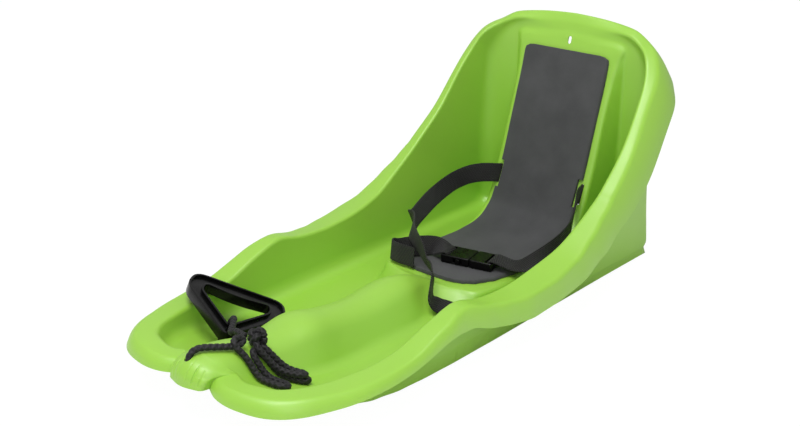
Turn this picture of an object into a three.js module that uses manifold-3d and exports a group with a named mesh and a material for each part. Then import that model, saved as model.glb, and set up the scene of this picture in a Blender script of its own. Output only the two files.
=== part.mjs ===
// Baby pull sled: one moulded hull with a raised seat and backrest, a foam seat pad, a webbing lap belt
// with a side release buckle, and a tow rope with a moulded pull handle.
// Millimetres. +Z is up, -Y is the nose, +X is the child's left. The hull stands on its runners at z = 0.

import * as THREE from 'three';
import { mergeVertices, mergeGeometries } from 'three/addons/utils/BufferGeometryUtils.js';
import Module from 'manifold-3d';

const wasm = await Module();
wasm.setup();

// Driving sizes of the hull
const hullLength = 814;
const hullWidth = 407;
const hullHeight = 347;
const hullWall = 3;
const halfWidth = hullWidth / 2;

// Steps of the hull's surface between two stations, and across each rounded corner
const rowsPerStation = 2;
const cornerSteps = 2;

// Materials, from the photograph
const greenPlastic = new THREE.MeshStandardMaterial({ color: 0x8bc63f, roughness: 0.45, metalness: 0 });
const padFoam = new THREE.MeshStandardMaterial({ color: 0x4a4a4c, roughness: 0.8, metalness: 0 });
const blackWebbing = new THREE.MeshStandardMaterial({ color: 0x161416, roughness: 0.9, metalness: 0 });
const blackPlastic = new THREE.MeshStandardMaterial({ color: 0x121113, roughness: 0.3, metalness: 0 });
const blackRope = new THREE.MeshStandardMaterial({ color: 0x171518, roughness: 0.85, metalness: 0 });

// Hull lines. Each row is one station, from the middle of the backrest's top round to the nose. Its five
// points run from the rim's inner edge down the wall to the outer foot, along the floor to the inner foot,
// up to the shoulder of the backrest, seat or hump, and in to the middle. Shares of the half width, of the
// length from the middle, and of the height.
const stationShares = [
  [[0, .466, .963], [0, .464, .942], [0, .462, .925], [0, .459, .908], [0, .457, .888]],
  [[.305, .464, .96], [.256, .463, .939], [.221, .462, .919], [.187, .457, .89], [0, .453, .856]],
  [[.491, .457, .951], [.482, .463, .925], [.457, .464, .902], [.423, .457, .882], [0, .446, .804]],
  [[.624, .445, .919], [.619, .458, .865], [.472, .463, .836], [.423, .451, .818], [0, .437, .726]],
  [[.713, .424, .873], [.708, .457, .761], [.467, .463, .744], [.413, .441, .729], [0, .428, .651]],
  [[.757, .404, .804], [.732, .458, .64], [.462, .462, .628], [.413, .426, .62], [0, .415, .565]],
  [[.784, .371, .706], [.747, .458, .484], [.462, .461, .478], [.418, .409, .496], [0, .402, .464]],
  [[.801, .322, .562], [.757, .458, .303], [.462, .459, .3], [.423, .388, .343], [0, .382, .331]],
  [[.811, .264, .447], [.771, .462, .086], [.467, .463, .086], [.423, .361, .19], [0, .357, .19]],
  [[.811, .246, .415], [.774, .455, .032], [.464, .455, .032], [.423, .342, .13], [0, .34, .13]],
  [[.809, .225, .383], [.771, .424, .014], [.462, .424, .014], [.423, .313, .086], [0, .313, .086]],
  [[.802, .184, .326], [.762, .319, .014], [.457, .317, .014], [.423, .26, .063], [0, .26, .065]],
  [[.786, .138, .272], [.757, .209, .014], [.462, .203, .014], [.432, .184, .064], [0, .184, .064]],
  [[.769, .079, .239], [.752, .113, .014], [.472, .108, .014], [.447, .108, .074], [0, .111, .07]],
  [[.767, .016, .222], [.749, .031, .014], [.437, .044, .014], [.413, .053, .082], [0, .055, .078]],
  [[.764, -.031, .222], [.747, -.018, .014], [.344, .005, .014], [.256, .038, .082], [0, .033, .086]],
  [[.759, -.076, .233], [.744, -.061, .014], [.275, -.037, .014], [.093, .018, .095], [0, .02, .11]],
  [[.747, -.129, .261], [.742, -.117, .014], [.27, -.081, .014], [.133, -.052, .133], [0, -.037, .156]],
  [[.737, -.184, .231], [.737, -.178, .016], [.265, -.154, .017], [.133, -.145, .124], [0, -.138, .146]],
  [[.722, -.246, .183], [.727, -.24, .023], [.275, -.221, .023], [.138, -.211, .144], [0, -.206, .164]],
  [[.705, -.296, .167], [.713, -.292, .039], [.28, -.278, .037], [.157, -.268, .173], [0, -.263, .193]],
  [[.677, -.338, .164], [.683, -.332, .058], [.27, -.322, .055], [.143, -.319, .164], [0, -.314, .184]],
  [[.644, -.378, .166], [.634, -.372, .084], [.256, -.365, .078], [.128, -.361, .167], [0, -.359, .187]],
  [[.597, -.413, .173], [.57, -.407, .104], [.236, -.396, .098], [.128, -.394, .187], [0, -.396, .207]],
  [[.516, -.439, .176], [.482, -.43, .118], [.221, -.418, .115], [.128, -.421, .202], [0, -.424, .222]],
  [[.403, -.45, .176], [.383, -.441, .13], [.211, -.431, .133], [.133, -.437, .205], [0, -.441, .228]],
  [[.295, -.452, .174], [.285, -.445, .147], [.206, -.44, .151], [.133, -.45, .205], [0, -.455, .231]],
  [[.206, -.443, .173], [.204, -.441, .167], [.202, -.439, .161], [.133, -.459, .203], [0, -.466, .231]],
];
const lastStation = stationShares.length - 1;

// The nose's front, from its top down to its lower edge: points of the middle and of the shoulder
const noseMiddleShares = [[0, -.466, .231], [0, -.489, .216], [0, -.502, .182], [0, -.506, .138]];
const noseShoulderShares = [[.133, -.459, .203], [.15, -.479, .192], [.15, -.491, .165], [.138, -.496, .138]];

// The rolled band outside the rim's inner edge. Each list holds [station, share] pairs, eased in between.
const bandWidth = 43;
const bandFall = 14;
const skirtDepth = 52;
const skirtFlare = 22;
const bandWidthShares = [[0, .25], [2, .4], [3, .46], [4, .46], [6, .37], [8, .49], [10, .58], [11, .72], [12, .88],
  [13, 1], [14, .93], [15, .79], [16, .67], [17, .56], [18, .67], [19, .74], [21, .77], [23, .67], [25, .6], [27, .55]];
const bandFallShares = [[0, -1.15], [2, -.65], [3, -.2], [5, .29], [12, .43], [14, .29], [17, 0], [27, 0]];
const skirtDepthShares = [[0, .7], [3, .9], [5, 1], [7, 1], [10, .85], [12, .73], [13, .63], [16, .56], [17, .54],
  [18, .33], [19, .25], [21, .25], [24, .33], [27, .27]];
const skirtFlareShares = [[0, .45], [2, .7], [4, .6], [6, .62], [8, .5], [10, .36], [13, .14], [15, .27], [17, .36],
  [19, .27], [22, .45], [24, .5], [27, .45]];
const skirtLeanShares = [[0, .25], [2, .35], [4, .6], [6, 1.05], [8, .85], [10, .7], [11, .55], [12, .35],
  [13, .15], [15, -.05], [17, 0], [18, .2], [20, .1], [22, 0], [27, 0]];
const skirtCreaseDepthShare = 0.4;
const skirtCreaseFlareShare = 0.62;

// Corner roundings of a section, from the shoulder outwards, in the same way
const shoulderRound = 18;
const footRound = 12;
const wallRound = 30;
const rimRound = 6;
const shoulderRoundShares = [[0, .3], [11, .4], [15, .4], [17, .9], [27, 1]];
const footRoundShares = [[0, .4], [13, .6], [16, 1], [25, .8], [27, .1]];
const wallRoundShares = [[0, .1], [2, .3], [4, 1], [7, 1], [9, .6], [11, .6], [14, .75], [20, .75], [23, .5],
  [27, .05]];

// A point of the hull from its shares
function hullPoint([across, along, up]) {
  return new THREE.Vector3(across * halfWidth, along * hullLength, up * hullHeight);
}

// Uniform Catmull-Rom curve through rows of points
function curveAt(points, at) {
  const last = points.length - 1;
  const place = Math.min(Math.max(at, 0), last);
  const index = Math.min(Math.floor(place), last - 1);
  const start = points[index];
  const end = points[index + 1];
  const before = index > 0 ? points[index - 1] : start.clone().multiplyScalar(2).sub(end);
  const after = index < last - 1 ? points[index + 2] : end.clone().multiplyScalar(2).sub(start);
  const share = place - index;
  const blend = (p0, p1, p2, p3) => 0.5 * (2 * p1 + (p2 - p0) * share
    + (2 * p0 - 5 * p1 + 4 * p2 - p3) * share ** 2 + (3 * p1 - p0 - 3 * p2 + p3) * share ** 3);
  return new THREE.Vector3(
    blend(before.x, start.x, end.x, after.x),
    blend(before.y, start.y, end.y, after.y),
    blend(before.z, start.z, end.z, after.z),
  );
}

// The eased value of a list of [station, share] pairs
function easedShare(pairs, at) {
  const next = pairs.findIndex(([station]) => station >= at);
  if (next <= 0) {
    return pairs[next < 0 ? pairs.length - 1 : 0][1];
  }
  const [fromStation, fromShare] = pairs[next - 1];
  const [toStation, toShare] = pairs[next];
  return THREE.MathUtils.lerp(fromShare, toShare, THREE.MathUtils.smoothstep(at, fromStation, toStation));
}

const hullLines = [0, 1, 2, 3, 4].map((line) => stationShares.map((row) => hullPoint(row[line])));
const [rimLine, outerFootLine, innerFootLine, shoulderLine, middleLine] = hullLines;

// The band's three outer points at a station: its crease, the skirt's crease and the skirt's lower edge
function bandPoints(at) {
  const rim = curveAt(rimLine, at);
  const reach = 0.15;
  const run = curveAt(rimLine, at + reach).sub(curveAt(rimLine, at - reach));
  if (at <= 0) {
    run.set(1, 0, 0);
  }
  const outward = new THREE.Vector3(-run.y, run.x, 0).normalize();
  const down = new THREE.Vector3(0, easedShare(skirtLeanShares, at), -1).normalize();
  const crease = rim.clone()
    .addScaledVector(outward, bandWidth * easedShare(bandWidthShares, at))
    .addScaledVector(down, bandFall * easedShare(bandFallShares, at));
  const depth = skirtDepth * easedShare(skirtDepthShares, at);
  const flare = skirtFlare * easedShare(skirtFlareShares, at);
  const skirtCrease = crease.clone()
    .addScaledVector(outward, flare * skirtCreaseFlareShare)
    .addScaledVector(down, depth * skirtCreaseDepthShare);
  const skirtEdge = crease.clone().addScaledVector(outward, flare).addScaledVector(down, depth);
  return [rim, crease, skirtCrease, skirtEdge];
}

// Points that round the corner between two straight runs, starting `round` before it
function roundedCorner(before, corner, after, round) {
  const inLength = corner.distanceTo(before);
  const outLength = corner.distanceTo(after);
  const mostShare = 0.46;
  const back = Math.min(round, inLength * mostShare, outLength * mostShare);
  const start = corner.clone().lerp(before, back / inLength);
  const end = corner.clone().lerp(after, back / outLength);
  const points = [];
  for (let step = 0; step <= cornerSteps; step += 1) {
    const share = step / cornerSteps;
    points.push(start.clone().lerp(corner, share).lerp(corner.clone().lerp(end, share), share));
  }
  return points;
}

// One section of the hull's upper face, from the middle to the skirt's edge
function hullSection(at) {
  const [rim, crease, skirtCrease, skirtEdge] = bandPoints(at);
  const outerFoot = curveAt(outerFootLine, at);
  const innerFoot = curveAt(innerFootLine, at);
  const shoulder = curveAt(shoulderLine, at);
  const middle = curveAt(middleLine, at);
  return [
    middle,
    ...roundedCorner(middle, shoulder, innerFoot, shoulderRound * easedShare(shoulderRoundShares, at)),
    ...roundedCorner(shoulder, innerFoot, outerFoot, footRound * easedShare(footRoundShares, at)),
    ...roundedCorner(innerFoot, outerFoot, rim, wallRound * easedShare(wallRoundShares, at)),
    ...roundedCorner(outerFoot, rim, crease, rimRound),
    ...roundedCorner(rim, crease, skirtCrease, rimRound),
    skirtCrease,
    skirtEdge,
  ];
}

// The upper face of the hull's right half as one list of triangles
function hullFaceTriangles() {
  const rows = [];
  for (let row = 0; row <= lastStation * rowsPerStation; row += 1) {
    rows.push(hullSection(row / rowsPerStation));
  }
  const triangles = [];
  const addQuad = (a, b, c, d) => triangles.push([a, b, c], [a, c, d]);
  for (let row = 1; row < rows.length; row += 1) {
    for (let column = 1; column < rows[row].length; column += 1) {
      addQuad(rows[row - 1][column - 1], rows[row][column - 1], rows[row][column], rows[row - 1][column]);
    }
  }
  // The nose goes on past the last section: its rows end on that section's outer part
  const lastRow = rows[rows.length - 1];
  const footColumn = 1 + cornerSteps + 1;
  const nosePoints = (shares, share) => curveAt(shares.map(hullPoint), share * (shares.length - 1));
  let previous = lastRow.slice(0, footColumn + 1);
  const rowCount = lastRow.length - 1 - footColumn;
  for (let row = 1; row <= rowCount; row += 1) {
    const middle = nosePoints(noseMiddleShares, row / rowCount);
    const shoulder = nosePoints(noseShoulderShares, row / rowCount);
    const edge = lastRow[footColumn + row];
    const next = [middle, ...roundedCorner(middle, shoulder, edge, shoulderRound), edge];
    for (let column = 1; column < next.length; column += 1) {
      addQuad(previous[column - 1], next[column - 1], next[column], previous[column]);
    }
    previous = next;
  }
  return triangles;
}

// A closed surface with all of its triangles facing outwards
function facedOutward(points, faces) {
  const corner = (at) => points[faces[at]];
  let volume = 0;
  for (let at = 0; at < faces.length; at += 3) {
    volume += corner(at).dot(new THREE.Vector3().crossVectors(corner(at + 1), corner(at + 2)));
  }
  const geometry = new THREE.BufferGeometry().setFromPoints(points);
  geometry.setIndex(volume < 0 ? faces.reverse() : faces);
  return geometry;
}

// A face of triangles given a thickness below it, closed round its edges
function thickenedFace(triangles, thickness) {
  const positions = triangles.flatMap((corners) => corners.flatMap((corner) => corner.toArray()));
  const face = new THREE.BufferGeometry();
  face.setAttribute('position', new THREE.Float32BufferAttribute(positions, 3));
  const merged = mergeVertices(face, hullWall / 1000);
  merged.computeVertexNormals();
  const place = merged.getAttribute('position');
  const normal = merged.getAttribute('normal');
  const upper = [];
  const lower = [];
  for (let index = 0; index < place.count; index += 1) {
    const point = new THREE.Vector3().fromBufferAttribute(place, index);
    upper.push(point);
    lower.push(point.clone().addScaledVector(new THREE.Vector3().fromBufferAttribute(normal, index), -thickness));
  }
  const faces = [];
  const edges = new Map();
  const source = merged.getIndex();
  for (let index = 0; index < source.count; index += 3) {
    const corners = [source.getX(index), source.getX(index + 1), source.getX(index + 2)];
    if (new Set(corners).size < 3) {
      continue;
    }
    faces.push(...corners);
    faces.push(...corners.map((corner) => corner + place.count).reverse());
    corners.forEach((corner, side) => {
      const next = corners[(side + 1) % 3];
      const key = `${Math.min(corner, next)} ${Math.max(corner, next)}`;
      edges.set(key, edges.has(key) ? null : [corner, next]);
    });
  }
  for (const edge of edges.values()) {
    if (edge) {
      const [from, to] = edge;
      faces.push(to, from, from + place.count, to, from + place.count, to + place.count);
    }
  }
  return facedOutward([...upper, ...lower], faces);
}

function hullShell() {
  const half = hullFaceTriangles();
  const mirrored = half.map((corners) => corners
    .map((corner) => corner.clone().multiply(new THREE.Vector3(-1, 1, 1))).reverse());
  return thickenedFace([...half, ...mirrored], hullWall);
}

// A geometry as a manifold solid, and back
function toSolid(geometry) {
  const bare = geometry.clone();
  bare.deleteAttribute('normal');
  bare.deleteAttribute('uv');
  const merged = mergeVertices(bare);
  return new wasm.Manifold(new wasm.Mesh({
    numProp: 3,
    vertProperties: new Float32Array(merged.getAttribute('position').array),
    triVerts: new Uint32Array(merged.getIndex().array),
  }));
}

function toGeometry(solid) {
  const mesh = solid.getMesh();
  const geometry = new THREE.BufferGeometry();
  geometry.setAttribute('position', new THREE.BufferAttribute(new Float32Array(mesh.vertProperties), 3));
  geometry.setIndex(new THREE.BufferAttribute(new Uint32Array(mesh.triVerts), 1));
  return geometry;
}

// A closed solid through a row of rings that all have the same number of points. Faces on opposite sides are
// split along the same diagonal, so that a thin twisted strip doesn't cross itself.
function ringsGeometry(rings) {
  const count = rings[0].length;
  const faces = [];
  for (let ring = 1; ring < rings.length; ring += 1) {
    for (let side = 0; side < count; side += 1) {
      const [a, b] = [(ring - 1) * count + side, (ring - 1) * count + (side + 1) % count];
      if (side < count / 2) {
        faces.push(a, b, b + count, a, b + count, a + count);
      } else {
        faces.push(a, b, a + count, b, b + count, a + count);
      }
    }
  }
  const end = (rings.length - 1) * count;
  for (let side = 1; side < count - 1; side += 1) {
    faces.push(0, side + 1, side, end, end + side, end + side + 1);
  }
  return facedOutward(rings.flat(), faces);
}

// A stadium shaped peg along local Z, to cut a slot with rounded ends
function slotSolid(length, width, depth, matrix) {
  const shape = new THREE.Shape();
  const half = (length - width) / 2;
  shape.absarc(0, half, width / 2, 0, Math.PI);
  shape.absarc(0, -half, width / 2, Math.PI, 2 * Math.PI);
  const peg = new THREE.ExtrudeGeometry(shape, { depth, bevelEnabled: false, curveSegments: 8 });
  peg.translate(0, 0, -depth / 2);
  return toSolid(peg.applyMatrix4(matrix));
}

function boxSolid(sizeX, sizeY, sizeZ, matrix) {
  return toSolid(new THREE.BoxGeometry(sizeX, sizeY, sizeZ).applyMatrix4(matrix));
}

// Runners: solid feet moulded under the tub's two outer corners. The hull stands on them, and their lower
// face rises towards the nose.
const runnerFrom = 9;
const runnerTo = 21;
const runnerBevel = 3;
const runnerRise = 24;
const runnerRiseShares = [[0, 0], [15, 0], [16, .01], [17, .03], [18, .08], [19, .16], [20, .35], [21, .55]];

function runnerSolid(side) {
  const rings = [];
  for (let row = runnerFrom * rowsPerStation; row <= runnerTo * rowsPerStation; row += 1) {
    const at = row / rowsPerStation;
    const foot = curveAt(outerFootLine, at);
    const round = wallRound * easedShare(wallRoundShares, at);
    const corner = roundedCorner(curveAt(innerFootLine, at), foot, curveAt(rimLine, at), round);
    const inset = hullWall / 2;
    const base = runnerRise * easedShare(runnerRiseShares, at);
    const outer = foot.x + hullWall;
    const [first, middle, last] = [corner[0], corner[Math.floor(corner.length / 2)], corner[corner.length - 1]];
    rings.push([
      [outer - runnerBevel, first.y, base],
      [first.x, first.y, base],
      [first.x, first.y, first.z - inset],
      [middle.x + inset * Math.SQRT1_2, middle.y, middle.z - inset * Math.SQRT1_2],
      [last.x + inset, last.y, last.z],
      [outer, last.y, base + runnerBevel],
    ].map(([x, y, z]) => new THREE.Vector3(x * side, y, z)));
  }
  return toSolid(ringsGeometry(rings));
}

// Openings of the hull
const panelLean = THREE.MathUtils.degToRad(16.7);
const lowerPanelLean = THREE.MathUtils.degToRad(22.5);
const hangSlotShares = [0, .458, .888];
const hangSlotLength = 12;
const hangSlotWidth = 6.5;
const beltSlotShares = [.37, .37, .277];
const beltSlotLength = 35;
const beltSlotWidth = 7;
const ropeHoleShares = [-.022, -.482, .22];
const cutDepth = 22;

const webWidth = 30;
const webThickness = 1.6;
const ropeDiameter = 8.5;
const ropeHoleWidth = ropeDiameter + 2.5;
const ropeRadius = ropeDiameter / 2;

// A peg that stands square to the leaning back panel, its long side up the panel
function panelMatrix(shares, lean) {
  return new THREE.Matrix4().makeRotationX(Math.PI / 2 - lean).setPosition(hullPoint(shares));
}

const plainHull = toSolid(hullShell()).add(runnerSolid(-1)).add(runnerSolid(1));
let hull = plainHull.subtract(slotSolid(hangSlotLength, hangSlotWidth, cutDepth,
  panelMatrix(hangSlotShares, panelLean)));
for (const side of [-1, 1]) {
  const [across, along, up] = beltSlotShares;
  hull = hull.subtract(slotSolid(beltSlotLength, beltSlotWidth, cutDepth,
    panelMatrix([across * side, along, up], lowerPanelLean)));
}
const ropeHole = hullPoint(ropeHoleShares);
const ropeHolePeg = new THREE.CylinderGeometry(ropeHoleWidth / 2, ropeHoleWidth / 2, cutDepth, 16);
ropeHolePeg.rotateX(Math.PI / 2).translate(ropeHole.x, ropeHole.y, ropeHole.z);
hull = hull.subtract(toSolid(ropeHolePeg));

// The hull's faces before its openings, sorted into cells seen from above, to lay other pieces on them
const cellSize = hullWidth / 12;
const cellOf = (value) => Math.floor(value / cellSize);
const hullCells = new Map();
{
  const plainGeometry = toGeometry(plainHull);
  const place = plainGeometry.getAttribute('position');
  const index = plainGeometry.getIndex();
  const corner = (at) => new THREE.Vector3().fromBufferAttribute(place, index.getX(at));
  for (let at = 0; at < index.count; at += 3) {
    const triangle = new THREE.Triangle(corner(at), corner(at + 1), corner(at + 2));
    const box = new THREE.Box3().setFromPoints([triangle.a, triangle.b, triangle.c]);
    for (let cellX = cellOf(box.min.x) - 1; cellX <= cellOf(box.max.x) + 1; cellX += 1) {
      for (let cellY = cellOf(box.min.y) - 1; cellY <= cellOf(box.max.y) + 1; cellY += 1) {
        const key = `${cellX} ${cellY}`;
        hullCells.set(key, [...(hullCells.get(key) ?? []), triangle]);
      }
    }
  }
}

function hullDistance(point) {
  const nearest = new THREE.Vector3();
  const triangles = hullCells.get(`${cellOf(point.x)} ${cellOf(point.y)}`) ?? [];
  return Math.min(cellSize, ...triangles.map((triangle) => triangle.closestPointToPoint(point, nearest)
    .distanceTo(point)));
}

// Moves a point along a direction until it's the wanted distance from the hull
function settle(point, direction, clearance) {
  const place = point.clone();
  const stepCount = 60;
  for (let step = 0; step < stepCount; step += 1) {
    place.addScaledVector(direction, hullDistance(place) - clearance);
  }
  return place;
}
const down = new THREE.Vector3(0, 0, -1);

const sled = new THREE.Group();

function addPiece(name, geometry, material) {
  const mesh = new THREE.Mesh(geometry, material);
  mesh.name = name;
  sled.add(mesh);
  return mesh;
}

addPiece('hull_shell', toGeometry(hull), greenPlastic);

// Seat pad: a foam mat that lies in the bend of the back and the seat, notched where the belt comes through.
// Its half width at stations of the hull's middle line, from the top edge to the front edge.
const padMargin = 4;
const panelStation = 8;
const padHalfWidth = curveAt(shoulderLine, panelStation).x - padMargin;
const padThickness = 5;
const padBevel = 2;
const notchMargin = 4;
const padGap = 0.6;
const padWidthShares = [[1.22, .73], [1.3, .83], [1.5, .9], [1.8, .915], [3, .915], [4, .915], [5, .915], [6, .915],
  [7, .915], [7.6, .915],
  [8.2, .915], [8.7, .92], [9.2, .925], [9.7, .93], [10.3, .94], [11, .97], [12, 1], [12.97, .93], [13.2, .86],
  [13.5, .79], [13.8, .63], [13.95, .48], [14.05, .34]];
const padColumnShares = [-1, -.96, -.75, -.4, 0, .4, .75, .96, 1];

function padPoint(across, station, height) {
  const ahead = 0.1;
  const run = curveAt(middleLine, station + ahead).sub(curveAt(middleLine, station - ahead));
  const toHull = new THREE.Vector3(0, -run.z, run.y).normalize();
  const place = curveAt(middleLine, station).addScaledVector(toHull, -2 * padThickness);
  place.x = across * padHalfWidth * easedShare(padWidthShares, station);
  return settle(place, toHull, padGap).addScaledVector(toHull, -height);
}

// A closed mat from a grid of places: its lower face, its upper face and a bevel round its edge
function matGeometry(rows, columns, pointAt, thickness, bevel) {
  const rings = rows.map((row, rowIndex) => {
    const end = rowIndex === 0 || rowIndex === rows.length - 1;
    const lower = columns.map((column) => pointAt(column, row, 0));
    const upper = columns.map((column, index) => {
      const edge = end || index === 0 || index === columns.length - 1;
      return pointAt(column, row, edge ? thickness - bevel : thickness);
    });
    return [...lower, ...upper.reverse()];
  });
  const count = rings[0].length;
  const faces = [];
  for (let ring = 1; ring < rings.length; ring += 1) {
    for (let side = 0; side < count; side += 1) {
      const [a, b] = [(ring - 1) * count + side, (ring - 1) * count + (side + 1) % count];
      faces.push(a, b, b + count, a, b + count, a + count);
    }
  }
  const half = columns.length;
  const end = (rings.length - 1) * count;
  for (let column = 1; column < half; column += 1) {
    const [a, b, c, d] = [column - 1, column, count - 1 - column, count - column];
    faces.push(a, c, b, a, d, c, end + a, end + b, end + c, end + a, end + c, end + d);
  }
  return facedOutward(rings.flat(), faces);
}

const padStations = padWidthShares.map(([station]) => station);
let pad = toSolid(matGeometry(padStations, padColumnShares, padPoint, padThickness, padBevel));
for (const side of [-1, 1]) {
  const [across, along, up] = beltSlotShares;
  const notchDepth = padHalfWidth / 2;
  const notchLength = beltSlotLength + 2 * notchMargin;
  const place = hullPoint([across * side, along, up]);
  place.x += side * (notchDepth / 2 - beltSlotWidth);
  pad = pad.subtract(boxSolid(notchDepth, notchLength, cutDepth,
    new THREE.Matrix4().makeRotationX(Math.PI / 2 - lowerPanelLean).setPosition(place)));
}
addPiece('seat_pad', toGeometry(pad), padFoam);

// Webbing: a flat strip along a row of places, each with the direction of the strip's width there
function webGeometry(route, width, thickness, stepsBetween) {
  const middles = route.map(([point]) => point);
  const sidesThere = route.map(([, side]) => side);
  const places = [];
  const runs = [];
  let sides = [];
  const last = route.length - 1;
  const ahead = 0.02;
  for (let step = 0; step <= last * stepsBetween; step += 1) {
    const at = step / stepsBetween;
    const run = curveAt(middles, Math.min(at + ahead, last)).sub(curveAt(middles, Math.max(at - ahead, 0))).normalize();
    const side = curveAt(sidesThere, at);
    places.push(curveAt(middles, at));
    runs.push(run);
    sides.push(side.addScaledVector(run, -side.dot(run)).normalize());
  }
  // Webbing bends slowly within its own plane, so each width direction is eased with its neighbours
  const easings = 4;
  for (let pass = 0; pass < easings; pass += 1) {
    sides = sides.map((side, index) => side.clone()
      .add(sides[Math.max(index - 1, 0)])
      .add(sides[Math.min(index + 1, sides.length - 1)])
      .normalize());
  }
  const rings = places.map((place, index) => {
    const side = sides[index];
    const face = new THREE.Vector3().crossVectors(runs[index], side).normalize();
    const corner = (across, out) => place.clone()
      .addScaledVector(side, across * width / 2).addScaledVector(face, out * thickness / 2);
    return [corner(-1, -1), corner(1, -1), corner(1, 1), corner(-1, 1)];
  });
  return ringsGeometry(rings);
}

// Rope: a round tube along a row of places
function ropeGeometry(places, radius, sides, stepsBetween) {
  const curve = new THREE.CatmullRomCurve3(places, false, 'catmullrom', 0.5);
  const shape = new THREE.Shape();
  const turn = 2 * Math.PI / sides;
  for (let side = 0; side < sides; side += 1) {
    const [x, y] = [radius * Math.cos(side * turn), radius * Math.sin(side * turn)];
    if (side === 0) {
      shape.moveTo(x, y);
    } else {
      shape.lineTo(x, y);
    }
  }
  shape.closePath();
  const steps = (places.length - 1) * stepsBetween;
  return new THREE.ExtrudeGeometry(shape, { steps, bevelEnabled: false, extrudePath: curve });
}

// Side release buckle. Its own frame has +X towards the plug's end and +Z up from the pad.
const buckleWidth = 38;
const buckleThickness = 12;
const socketLength = 45;
const plugLength = 35;
const buckleGap = 0.3;
const buckleWall = 2.5;
const buckleBar = 5;
const buckleWindow = 14;
const buckleRounding = 3;
const webSlotWidth = 7;
const tongueWidth = 8;
const prongWidth = 4.5;
const prongLength = 27;
const prongReach = 4.5;
const prongRootRadius = 2.6;
const buckleTurn = THREE.MathUtils.degToRad(12.5);
const buckleShares = [.086, .137, .11];
const layGap = 0.7;
const buckleLift = 1.6;

const buckleCentre = settle(
  hullPoint(buckleShares).setZ(hullHeight / 2),
  down,
  padGap + padThickness + buckleLift + buckleThickness / 2,
);
const buckleMatrix = new THREE.Matrix4().makeRotationZ(buckleTurn).setPosition(buckleCentre);
const inBuckle = (x, y, z) => new THREE.Vector3(x, y, z).applyMatrix4(buckleMatrix);
const alongBuckle = (x, y, z) => new THREE.Vector3(x, y, z).transformDirection(buckleMatrix);

// A plate with rounded upright edges, from one end to the other along X
function roundedPlate(from, to, width, thickness, rounding) {
  const bevel = rounding / 3;
  const shape = new THREE.Shape();
  const [left, right, side] = [from + rounding, to - rounding, width / 2 - rounding];
  shape.absarc(right, side, rounding - bevel, 0, Math.PI / 2);
  shape.absarc(left, side, rounding - bevel, Math.PI / 2, Math.PI);
  shape.absarc(left, -side, rounding - bevel, Math.PI, Math.PI * 1.5);
  shape.absarc(right, -side, rounding - bevel, Math.PI * 1.5, Math.PI * 2);
  const plate = new THREE.ExtrudeGeometry(shape, {
    depth: thickness - 2 * bevel, bevelSize: bevel, bevelThickness: bevel, bevelSegments: 1, curveSegments: 3,
  });
  return toSolid(plate.translate(0, 0, bevel - thickness / 2));
}

function buckleBlock(fromX, toX, sizeY, sizeZ, centreY) {
  const place = new THREE.Matrix4().makeTranslation((fromX + toX) / 2, centreY, 0);
  return boxSolid(toX - fromX, sizeY, sizeZ, place);
}

const joinX = (socketLength - plugLength) / 2;
const socketEnd = joinX - socketLength;
const plugStart = joinX + buckleGap;
const plugEnd = plugStart + plugLength;
const socketFloor = socketEnd + buckleBar + webSlotWidth + buckleWall;
const cavityWidth = buckleWidth - 2 * buckleWall;
const cavityHeight = buckleThickness - 2 * buckleWall;
const webSlotLength = webWidth + 2 * layGap;
const windowFrom = joinX - prongLength + buckleWall;

const socket = roundedPlate(socketEnd, joinX, buckleWidth, buckleThickness, buckleRounding)
  .subtract(buckleBlock(socketFloor, joinX + buckleWall, cavityWidth, cavityHeight, 0))
  .subtract(buckleBlock(windowFrom, windowFrom + buckleWindow, buckleWidth * 2, cavityHeight, 0))
  .subtract(buckleBlock(socketEnd + buckleBar, socketEnd + buckleBar + webSlotWidth, webSlotLength,
    buckleThickness * 2, 0));

const prongSide = cavityWidth / 2 - prongWidth / 2 - 2 * buckleGap;
const prongPivotX = plugStart + buckleWall - prongRootRadius - buckleGap;
const prongTipX = prongPivotX - prongLength + buckleWall;
const plug = roundedPlate(plugStart, plugEnd, buckleWidth, buckleThickness, buckleRounding)
  .add(buckleBlock(prongTipX, plugStart + buckleWall, tongueWidth, cavityHeight - 2 * buckleGap, 0))
  .subtract(buckleBlock(plugEnd - buckleBar - webSlotWidth, plugEnd - buckleBar, webSlotLength,
    buckleThickness * 2, 0))
  .subtract(buckleBlock(plugStart - buckleWall, plugStart + buckleWall, prongRootRadius * 2 + 4 * buckleGap,
    cavityHeight, prongSide))
  .subtract(buckleBlock(plugStart - buckleWall, plugStart + buckleWall, prongRootRadius * 2 + 4 * buckleGap,
    cavityHeight, -prongSide));

// One springy prong: a round root in the plug, an arm, and a head that fills the socket's side window
function prongSolid(side) {
  const thickness = cavityHeight - 2 * buckleGap;
  const root = new THREE.CylinderGeometry(prongRootRadius, prongRootRadius, thickness, 12);
  root.rotateX(Math.PI / 2).translate(prongPivotX, side * prongSide, 0);
  const headFrom = windowFrom + buckleGap;
  const headTo = windowFrom + buckleWindow - buckleGap - buckleWall;
  const outer = prongSide + prongWidth / 2 + prongReach;
  const shape = new THREE.Shape();
  shape.moveTo(prongPivotX, prongSide - prongWidth / 2);
  shape.lineTo(prongPivotX, prongSide + prongWidth / 2);
  shape.lineTo(headTo, prongSide + prongWidth / 2);
  shape.lineTo(headTo - buckleWall / 2, outer);
  shape.lineTo(headFrom + prongReach, outer);
  shape.lineTo(headFrom, prongSide + prongWidth / 2);
  shape.lineTo(headFrom, prongSide - prongWidth / 2);
  shape.closePath();
  const arm = new THREE.ExtrudeGeometry(shape, { depth: thickness, bevelEnabled: false });
  arm.translate(0, 0, -thickness / 2);
  if (side < 0) {
    arm.rotateX(Math.PI);
  }
  return toSolid(root).add(toSolid(arm));
}

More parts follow.
